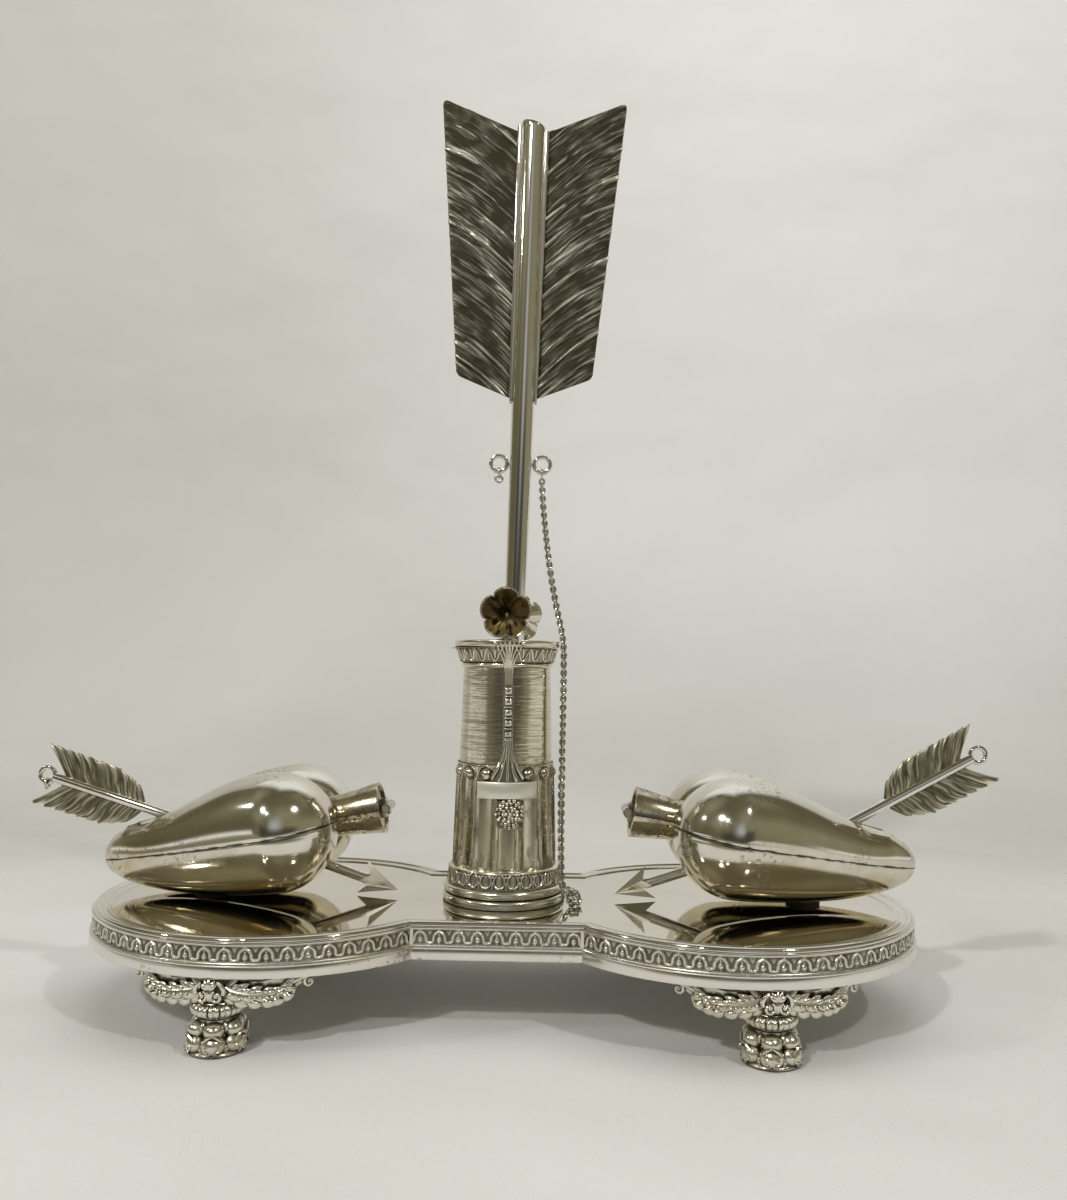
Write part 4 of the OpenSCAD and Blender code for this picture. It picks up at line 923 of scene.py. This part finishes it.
def makeStrap(w):
    f = Form()
    X, Z = mesh(-1.45, 1.45, 15, 76.3, 92.6, 110)
    rail = 0.28 * ringBump(np.abs(X) - 1.2, 0.3)
    edge = -0.5 * smoothStep((np.abs(X) - 1.2) / 0.25)
    # the strap is lighter on its rails and darker between them: tarnish with painted shade
    f.grid(around(X, Z, drumRadius(Z) + 0.5 + rail + edge), crest=np.clip(0.3 + rail * 3, 0, 1))
    u, v = mesh(-1, 1, 9, -1, 1, 9)
    top = 0.95 - 0.45 * np.maximum(np.abs(u), np.abs(v)) ** 3
    for k, half in enumerate(w["links"]):
        z = 90.6 - 3.15 * k
        f.grid(around(u * 0.95, z + v * half, drumRadius(z) + 0.45 + top * 0.95))
        r = drumRadius(z) + 0.65 + 0.35 * np.sqrt(1 - v ** 2) - 0.3 * np.abs(u) ** 6
        f.grid(around(u * 1.3, z - 1.55 + v * 0.3, r))
    ribbons(f, w["leaf"], w["heights"], w["outs"], (0.3, 0.42, 0.5, 0.55, 0.4), 0.7)
    X, Z = mesh(-1, 1, 21, 64.4, 77, 30)
    wide = np.interp(Z, (64.4, 66.5, 69, 72, 77), (5, 4, 2.6, 1.6, 1.2))
    r = drumRadius(Z) + np.interp(Z, w["heights"], w["outs"]) - 0.3 - 0.4 * np.abs(X) ** 6
    # a low crest darkens the leaf ground: tarnish with painted shade
    f.grid(around(X * wide, Z, r), crest=np.full(X.shape, 0.25))
    makePiece(f, "quiverStrap", "quiver_strap", "cast")


label = dict(low=59.4, high=64.3, reach=33.5)


def makeLabel(v):
    f = Form()
    low, tall, reach = v["low"], v["high"] - v["low"], math.radians(v["reach"])
    a = np.linspace(-reach, reach, 60)
    wave = 0.06 * np.sin(a * 5 + 0.6)
    rings = [turned(float(drumRadius(low)) + out + wave, a + frontTurn, low + dz)
        for out, dz in ((0.1, 0), (0.9, 0), (1.15, 0.12), (1.25, 0.35), (1.25, tall - 0.35),
        (1.15, tall - 0.12), (0.9, tall), (0.1, tall))]
    f.grid(rings)
    for end in (0, -1):
        f.shape([ring[end] for ring in rings], [range(len(rings))])
    makePiece(f, "labelBar", "label_bar", "bar", sharp=35)


def makeRosette():
    f = Form()
    rng = random.Random(11)
    for ring, count in ((0, 1), (1.1, 6), (2.1, 11), (3.05, 16), (3.9, 17)):
        rise = 1.3 * math.sqrt(max(0, 1 - (ring / 4.8) ** 2))
        for k in range(count):
            a = 2 * pi * k / count + ring
            x = ring * math.cos(a) * 1.05 + rng.uniform(-0.18, 0.18)
            y = ring * math.sin(a) * 0.98 + rng.uniform(-0.18, 0.18)
            x *= 1 - 0.16 * max(0, -y) / 3
            r = rng.uniform(0.52, 0.8)
            f.ball(around(x + 1, 55 + y, 14.75 + rise * 0.75 + 0.1),
                (r, r * rng.uniform(0.8, 1.1), r), n=8)
    X, Y = mesh(-3.9, 3.9, 12, -3.9, 3.9, 12)
    # a low crest darkens the ground between the grains: tarnish with painted shade
    f.grid(around(X + 1, 55 + Y, 14.85 + 0.9 * ringBump(np.hypot(X, Y), 4.6)),
        crest=np.full(X.shape, 0.1))
    makePiece(f, "labelRosette", "rosette", "chased", sharp=70)


makeQuiverBody(quiver)
makeQuiverFoot()
makeCapital(capital)
makePalmette(palmette)
makeStrap(strap)
makeLabel(label)
makeRosette()
print("quiver ready")

flower = dict(r=7.7, depth=7, wall=0.5, back=6.6, z=113.5, rearTurn=168)


def cupPoints(v, shrink, n=120, m=22):
    S, A = np.meshgrid(np.linspace(0, 1, m), circle(n))
    spread = S ** 1.5
    petal = 0.77 + 0.23 * np.abs(np.sin(2.5 * A)) ** 0.5
    wide = 1 - spread + spread * petal
    r = 1.7 * np.sqrt(np.clip(S / 0.14, 0, 1)) + (v["r"] - 1.7) * S ** 0.8 * wide
    r = np.maximum(0.02, r - shrink)
    groove = 0.32 * S * (1 - np.abs(np.sin(2.5 * A)) ** 0.35)
    vein = 0.1 * S * np.cos(25 * A) * smoothStep((S - 0.15) * 3)
    lip = 0.35 * smoothStep((S - 0.86) / 0.14)
    z = v["depth"] * S ** 1.2 + shrink * 0.9 * (1 - S) - groove * 0.6 + vein * 0.4 - lip * 0.5
    r = r - groove + lip * 0.5
    return np.stack([r * np.sin(A), -z, -r * np.cos(A)], -1)


def makeFlower(name, turn, v):
    f = Form()
    outer, inner = cupPoints(v, 0), cupPoints(v, v["wall"])
    f.grid(outer, closeU=True)
    a = circle(120)[:, None]
    s = np.linspace(0, 1, 22)[None, :]
    # crest of the inner petals: random streaks of gilding, brighter on the lower side as a painted
    # sheen, dark at the deep centre as painted shade and fading towards the rim; the gilt finish
    # darkens where it is low
    streak = smoothStep((drift(a * 6.4 + 0.4 * s, s * 2.5 + 7, 3) - 0.3) / 0.3)
    shine = 0.2 + np.clip(np.cos(a + 0.2), 0, 1) ** 2
    giltSheenAndShade = 0.05 + streak * shine * (1.1 - s ** 3) * smoothStep((s - 0.08) / 0.25)
    f.grid(inner, closeU=True, mark=1, crest=np.clip(giltSheenAndShade, 0, 1))
    f.grid(np.stack([outer[:, -1], inner[:, -1]], 1), closeU=True)
    f.ball((0, 0.85, 0), (1.6, 0.6, 1.6), n=16)
    f.ball((0, -0.45, 0), (0.55, 0.35, 0.55), mark=1)
    f.tube(((0, 0.2, 0.2), (0, 0.5, -2.2), (0, 0.1, -5), (0, 0.2, -7.9)), (0.9, 1, 1.1, 1.5),
        sides=12)
    for k in range(-2, 3):
        a = k * 0.75
        leafTube(f, 0, -7.6, -0.4, 90 - math.degrees(a), 3 - 0.4 * abs(k), 1.3, 0.6)
        f.ball((2.2 * math.sin(a), 0.4 - 0.9 * math.cos(a), -7.7), (0.9, 0.9, 0.5), n=10)

    def put(p):
        x, y = spun(p[:, 0], p[:, 1] - v["back"], math.radians(turn))
        return np.column_stack([x, y, p[:, 2] + v["z"]])

    makePiece(f, "flowerCup" + name, "flower_" + name.lower(), "petal gilt", slot="gilt",
        change=put)


makeFlower("Front", 0, flower)
makeFlower("Rear", flower["rearTurn"], flower)
print("flowers ready")

arrow = dict(shaftR=3.2, topR=4, taperZ=107.1, top=270.9, vaneLen=86, vaneZ=180.5, lowW=21.4,
    topW=29.8, rise=0.45, swing=1.6, barbs=13)


def leaning(p):
    a = math.radians(plan["lean"])
    z = p[:, 2] - plan["plateZ"]
    return np.column_stack([p[:, 0] * math.cos(a) + z * math.sin(a), p[:, 1],
        plan["plateZ"] - p[:, 0] * math.sin(a) + z * math.cos(a)])


def barbPoint(s, t, v):
    z0 = v["vaneZ"] + s * v["vaneLen"] / v["barbs"]
    reach = v["lowW"] + (v["topW"] - v["lowW"]) * (z0 + 9 - v["vaneZ"] - 9) / (v["vaneLen"] + 2)
    swing = v["swing"] * np.sin(pi * s / v["barbs"]) * np.sin(2 * pi * t)
    return 2 + (reach - 2) * t, z0 + v["rise"] * (reach - 4) * t + swing


def barbRelief(x, z, phase):
    # locks of barbs that climb steeply from the shaft and flatten outwards
    seed = 5 + int(phase * 10)
    q = z - 1.12 * x + 0.0135 * x * x + 0.5 * drift(z / 9, x / 9, seed) + 40
    hair = drift(q / 0.75, x / 6.5 + q * 0.11, seed + 1)
    tuft = drift(q / 2.1, x / 9 + q * 0.07, seed + 2)
    run = (q / 8.2 + 0.35 * drift(q / 9, x / 30, seed + 3)) % 1
    split = (drift(q / 8.2, x / 7, seed + 4) - 0.3) / 0.3
    strand = np.clip(1 - np.abs(run - 0.5) * 9, 0, 1) * smoothStep(split)
    shade = 0.6 * smoothStep((hair - 0.53) / 0.22) + 0.35 * smoothStep((tuft - 0.56) / 0.3)
    return np.clip(shade * (0.1 + 0.7 * tuft) + 0.95 * strand, 0, 1)


def rounded(x, z, a, b, r, up):
    # turns a square corner into a quarter circle; a and b are the ways to its two edges
    u, w = np.clip(1 - a / r, 0, 1), np.clip(1 - b / r, 0, 1)
    return (x - r * (u - u * np.sqrt(1 - w * w / 2)), z - up * r
        * (w - w * np.sqrt(1 - u * u / 2)))


def makeVane(side, v):
    f = Form()
    T, S = np.meshgrid(np.concatenate([np.linspace(0, 0.95, 92), np.linspace(0.96, 1, 5)]),
        np.linspace(0, v["barbs"], 430))
    x, z = barbPoint(S, T, v)
    crest = barbRelief(x, z, 0.4 if side < 0 else 2.2)
    mm = v["vaneLen"] / v["barbs"]
    x = x + 0.25 * (crest - 0.5) * smoothStep((T - 0.84) / 0.16)
    x, z = rounded(x, z, (1 - T) * 25, (v["barbs"] - S) * mm, 2.6, 1)
    x, z = rounded(x, z, (1 - T) * 25, S * mm, 1.2, -1)
    height = (0.3 + 0.95 * crest) * dome(((T - 0.5) / 0.505) ** 10)
    height = height * (0.6 + 0.4 * smoothStep(T / 0.1)) * (1 - 0.2 * T)
    height[[0, -1]] *= 0.2
    f.leaf(side * x, z, height, crest)
    name = sideName(side)
    makePiece(f, "vane" + name, "arrow_vane_" + name.lower(), "vane", body="arrow", sharp=65,
        change=leaning)


def makeShaft(v):
    f = Form()
    top = v["top"]
    wider, taper = v["topR"] - v["shaftR"], top - v["taperZ"]
    radius = lambda z: v["shaftR"] + wider * (z - v["taperZ"]) / taper
    f.revolve([(0, 35.5), (3, 35.5), (v["shaftR"], 35.9), (v["shaftR"], v["taperZ"])]
        + [(radius(z), z) for z in np.linspace(110, top - 3.2, 30)]
        + [(v["topR"], top - 2.2), (4.05, top - 1.2), (3.95, top - 0.3), (3.7, top),
        (3.1, top - 0.1), (2.8, top - 0.6), (2.5, top - 3.4), (0, top - 3.6)], n=64)
    zs = np.linspace(v["vaneZ"] - 0.5, top - 2.2, 24)
    thick = np.interp(zs, (v["vaneZ"] - 0.5, v["vaneZ"] + 12, top), (0.5, 0.75, 0.95))
    for side in (-1, 1):
        for y in (-1, 1):
            f.tube(np.stack([side * (radius(zs) + 0.25), y * (1.15 + 0 * zs), zs], 1), thick,
                sides=12)

    def slant(p):
        q = p.copy()
        tall = smoothStep((q[:, 2] - (top - 6)) / 6)
        q[:, 2] -= tall * (0.9 + 0.28 * q[:, 0] - 0.12 * q[:, 1])
        return leaning(q)

    makePiece(f, "arrowRod", "arrow_shaft", "rod", body="arrow", change=slant, sharp=45)


makeShaft(arrow)
makeVane(-1, arrow)
makeVane(1, arrow)
print("arrow ready")

heart = dict(hingeX={-1: 35.6, 1: 37}, hingeZ=54.7, tilt={-1: 11.4, 1: 10.2}, length=75,
    lobeEnd=18, lobeGap=13.5, lobeHalf=16, lidH=17.2, lidTipH=8.7, bowlH=17.4, wall=1.1,
    parting=0.2, lobesX=13.2, seatH=1, mid=51)
heart["tip"] = heart["lobesX"] + heart["length"]
heart["lobeU"] = heart["length"] - heart["lobeEnd"]


def endShare(u, v):
    return np.where(u <= v["lobeU"], 1, ringBump(u - v["lobeU"], v["lobeEnd"]))


def tipShare(u, p, q, v):
    return np.clip(1 - np.clip(1 - u / v["lobeU"], 0, None) ** p, 0, None) ** q


def lidRise(u, v):
    low = v["lidTipH"] * np.minimum(1, np.clip(u, 0, None) / 10) ** 0.45
    rise = (v["lidH"] - v["lidTipH"]) * smoothStep((u - 11) / (v["lobeU"] - 16))
    return (low + rise) * endShare(u, v)


def domeShare(u, y, v):
    b = v["lobeHalf"] * tipShare(u, 1.6, 0.6, v) * endShare(u, v)
    gap = v["lobeGap"] * np.minimum(1, np.clip(u, 0, None) / v["lobeU"]) ** 1.1
    return np.where(b <= 0.01, -1, 1 - ((np.abs(y) - gap) / np.maximum(b, 0.01)) ** 2)


def heartEdge(a, v):
    lo, hi = np.zeros_like(a), np.full_like(a, 60)
    for _ in range(30):
        m = (lo + hi) / 2
        u = v["mid"] + m * np.cos(a)
        good = (domeShare(u, m * np.sin(a), v) > 0) & (u > 0)
        lo, hi = np.where(good, m, lo), np.where(good, hi, m)
    return lo


def heartAngles():
    quarter = np.linspace(0, 1, 61)
    up = pi * (0.5 - 0.5 * np.cos(pi * quarter)) * 0.35 + pi * quarter * 0.65
    return np.concatenate([up, -up[1:-1][::-1]])


def heartSkin(isLid, shrink, tilt, v, rings):
    a = heartAngles()[None, :]
    s = np.concatenate([[0.02], np.linspace(0.05, 1, rings)])[:, None]
    out = (heartEdge(a, v) - shrink * 1.4) * np.sin(s * pi / 2)
    u, y = v["mid"] + out * np.cos(a), out * np.sin(a)
    full = np.sqrt(np.clip(domeShare(u, y, v), 0, None))
    x = v["tip"] - u
    drop = v["bowlH"] * tipShare(u, 1.5, 0.5, v) * endShare(u, v)
    h = (lidRise(u, v) if isLid else drop) * full
    if isLid:
        w = np.maximum(0.02, h - shrink)
        if not shrink:
            rr = np.sqrt(((x - 75.6) / 8.2) ** 2 + (y / 2.3) ** 2)
            w = w - 1.5 * np.clip(1 - rr, 0, 1) ** 0.6 + 0.35 * ringBump(rr - 1.12, 0.3)
    else:
        flat = (plan["plateZ"] + v["seatH"] - v["hingeZ"] + x * math.sin(tilt)) / math.cos(tilt)
        w = np.minimum(-0.02, np.maximum(-h, flat) + shrink)
    rim = smoothStep((s - 0.985) / 0.015) * 0.35 * (shrink == 0)
    return np.stack([x, y * (1 - rim * 0.01), w + (1 if isLid else -1) * v["parting"] / 2], -1)


def inHeart(p, side, v):
    x, z = spun(p[:, 0], p[:, 2], -math.radians(v["tilt"][side]))
    return np.column_stack([side * (x + v["hingeX"][side]), p[:, 1], z + v["hingeZ"]])


def makeHalf(f, name, prefix, side, isLid, look):
    half, hand = "Lid" if isLid else "Bowl", sideName(side)
    makePiece(f, name + half + hand, prefix + half.lower() + "_" + hand.lower(), look + " inside",
        body=hand.lower() + "_lid" if isLid else "base", sharp=40,
        change=lambda p: inHeart(p, side, heart))


def makeHeartHalf(side, isLid, v):
    f = Form()
    tilt = math.radians(v["tilt"][side])
    skin = heartSkin(isLid, 0, tilt, v, 64)
    lining = heartSkin(isLid, v["wall"], tilt, v, 24)
    seam = np.ones(skin.shape[:2])
    seam[-1] = 0
    for mark, wall, crest in ((0, skin, seam), (1, lining, None)):
        f.grid(wall, closeV=True, mark=mark, crest=crest)
        f.shape(wall[0], [range(len(wall[0]))], mark)
    f.grid(np.stack([skin[-1], lining[-1]]), closeV=True, mark=1)
    makeHalf(f, "heart", "", side, isLid, "heart")


neck = dict(profile=((22.2, 6.2), (13.2, 6.2), (12.6, 6.26), (1.95, 7.66), (1.74, 7.6),
    (1.62, 7.4), (1.62, 6.95), (1.8, 6.75), (2.45, 6.6), (2.5, 6.3), (2.5, 0.02)),
    bore=((22.2, 5), (13.2, 5), (3.4, 6.2), (3.4, 0.02)), knuckleR=1.4, half=5, lidKnuckle=1.9,
    gap=0.15)


def makeNeck(side, isLid, v):
    f = Form()
    sign = 1 if isLid else -1
    level = heart["parting"] / 2
    t = np.linspace(level / 6.9, pi - level / 6.9, 40)
    rows, inner = ([np.stack([np.full(len(t), x), r * np.cos(t),
        sign * np.maximum(r * np.sin(t), level)], 1) for x, r in part]
        for part in (v["profile"], v["bore"]))
    f.grid(rows)
    f.grid(inner, mark=1)
    for end in (0, -1):
        edge = [row[end] for row in rows + inner[::-1]]
        f.shape(edge, [range(len(edge))], 1)
    f.grid([rows[0], inner[0]], mark=1)

    def barrel(y0, y1):
        a = circle(24)
        r = v["knuckleR"]
        f.grid([np.stack([k * np.cos(a), np.full(len(a), y), k * np.sin(a)], 1)
            for k, y in ((0.62, y0), (r - 0.15, y0), (r, y0 + 0.15), (r, y1 - 0.15),
            (r - 0.15, y1), (0.62, y1))], closeV=True)
        f.box((0.2, y0 + 0.08, 0.1 if isLid else -2.6), (1.9, y1 - 0.08, 2.6 if isLid else -0.1))

    if isLid:
        barrel(-v["lidKnuckle"], v["lidKnuckle"])
    else:
        barrel(v["lidKnuckle"] + v["gap"], v["half"])
        barrel(-v["half"], -v["lidKnuckle"] - v["gap"])
    makeHalf(f, "neck", "neck_", side, isLid, "neck")


tail = dict(slope={-1: 17, 1: 28.5}, length={-1: 39, 1: 43}, start=67.5, vaneLen=29, vaneW=9,
    rootW=5.4, r=1.55, teeth=9)


def onTail(p, side, v):
    x, z = spun(p[:, 0], p[:, 2], -math.radians(90 - v["slope"][side] - heart["tilt"][side]))
    rise = float(lidRise(heart["tip"] - v["start"], heart))
    return inHeart(np.column_stack([x + v["start"], p[:, 1], z + rise]), side, heart)


def makeTailVanes(side, v):
    f = Form()
    start = v["length"][side] - v["vaneLen"] - 2.5
    T, S = np.meshgrid(np.concatenate([np.linspace(0, 0.86, 22), np.linspace(0.9, 1, 6)]),
        np.linspace(0, 1, 150))
    k = S * v["teeth"]
    for half in (-1, 1):
        saw = (k + 0.3 * half) % 1
        wide = v["rootW"] + (v["vaneW"] - v["rootW"]) * np.clip(S / 0.28, 0, 1) ** 0.7
        wide = wide + 0.5 * S - 0.75 * (1 - saw) ** 1.5
        root = start + (v["vaneLen"] - 3) * S
        outer = start + 2.4 + (v["vaneLen"] + 2.4) * S + 0.5 * saw
        x = v["r"] * 0.8 + (wide - v["r"] * 0.8) * T
        z = root + (outer - root) * T ** 1.15 + 0.5 * np.sin(pi * S) * np.sin(2 * pi * T)
        ribs = 0.5 + 0.5 * np.sin(2 * pi * (k + 0.25 * np.sin(S * 9 + half)))
        hair = drift(k * 7.5, T * 2.2 + k * 0.6, 31 + half)
        h = 0.32 + 0.09 * ribs ** 1.4 * smoothStep(T * 3) + 0.22 * hair
        h = h * dome(((T - 0.48) / 0.53) ** 6) + 0.06
        h[[0, -1]] *= 0.3
        # crest is higher on rib tops, hair streaks and towards the outer edge; the finish darkens
        # where it is low, as tarnish with painted shade
        crest = ribs ** 2 * (0.1 + 0.5 * smoothStep((T - 0.6) / 0.4))
        crest = np.clip(crest + 0.7 * smoothStep((hair - 0.45) / 0.4), 0, 1)
        f.leaf(half * x, z, h, crest)
    hand = sideName(side)
    makePiece(f, "tailVanes" + hand, "tail_vanes_" + hand.lower(), "smallVane",
        body=hand.lower() + "_lid", change=lambda p: onTail(p, side, v), sharp=60)


for side in (-1, 1):
    for isLid in (False, True):
        makeHeartHalf(side, isLid, heart)
    for isLid in (False, True):
        makeNeck(side, isLid, neck)
    makeTailVanes(side, tail)
print("hearts ready")

# finishes of the construction's own nodes
kept = dict(band="base_tray", mirror="top_plate",
            steel="foot_nuts plate_nuts quiver_stud hinge_pin_left hinge_pin_right",
            rod="arrow_socket arrow_ring_left arrow_ring_right tail_left tail_right",
            chain="arrow_link chain_link tail_link", glass="liner_left liner_right",
            shade="heart_seat_left heart_seat_right", blade="arrowhead_left arrowhead_right")

for look, nodes in kept.items():
    for node in nodes.split():
        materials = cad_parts[node].data.materials
        materials.clear()
        materials.append(finish[look])

print("everything is finished")
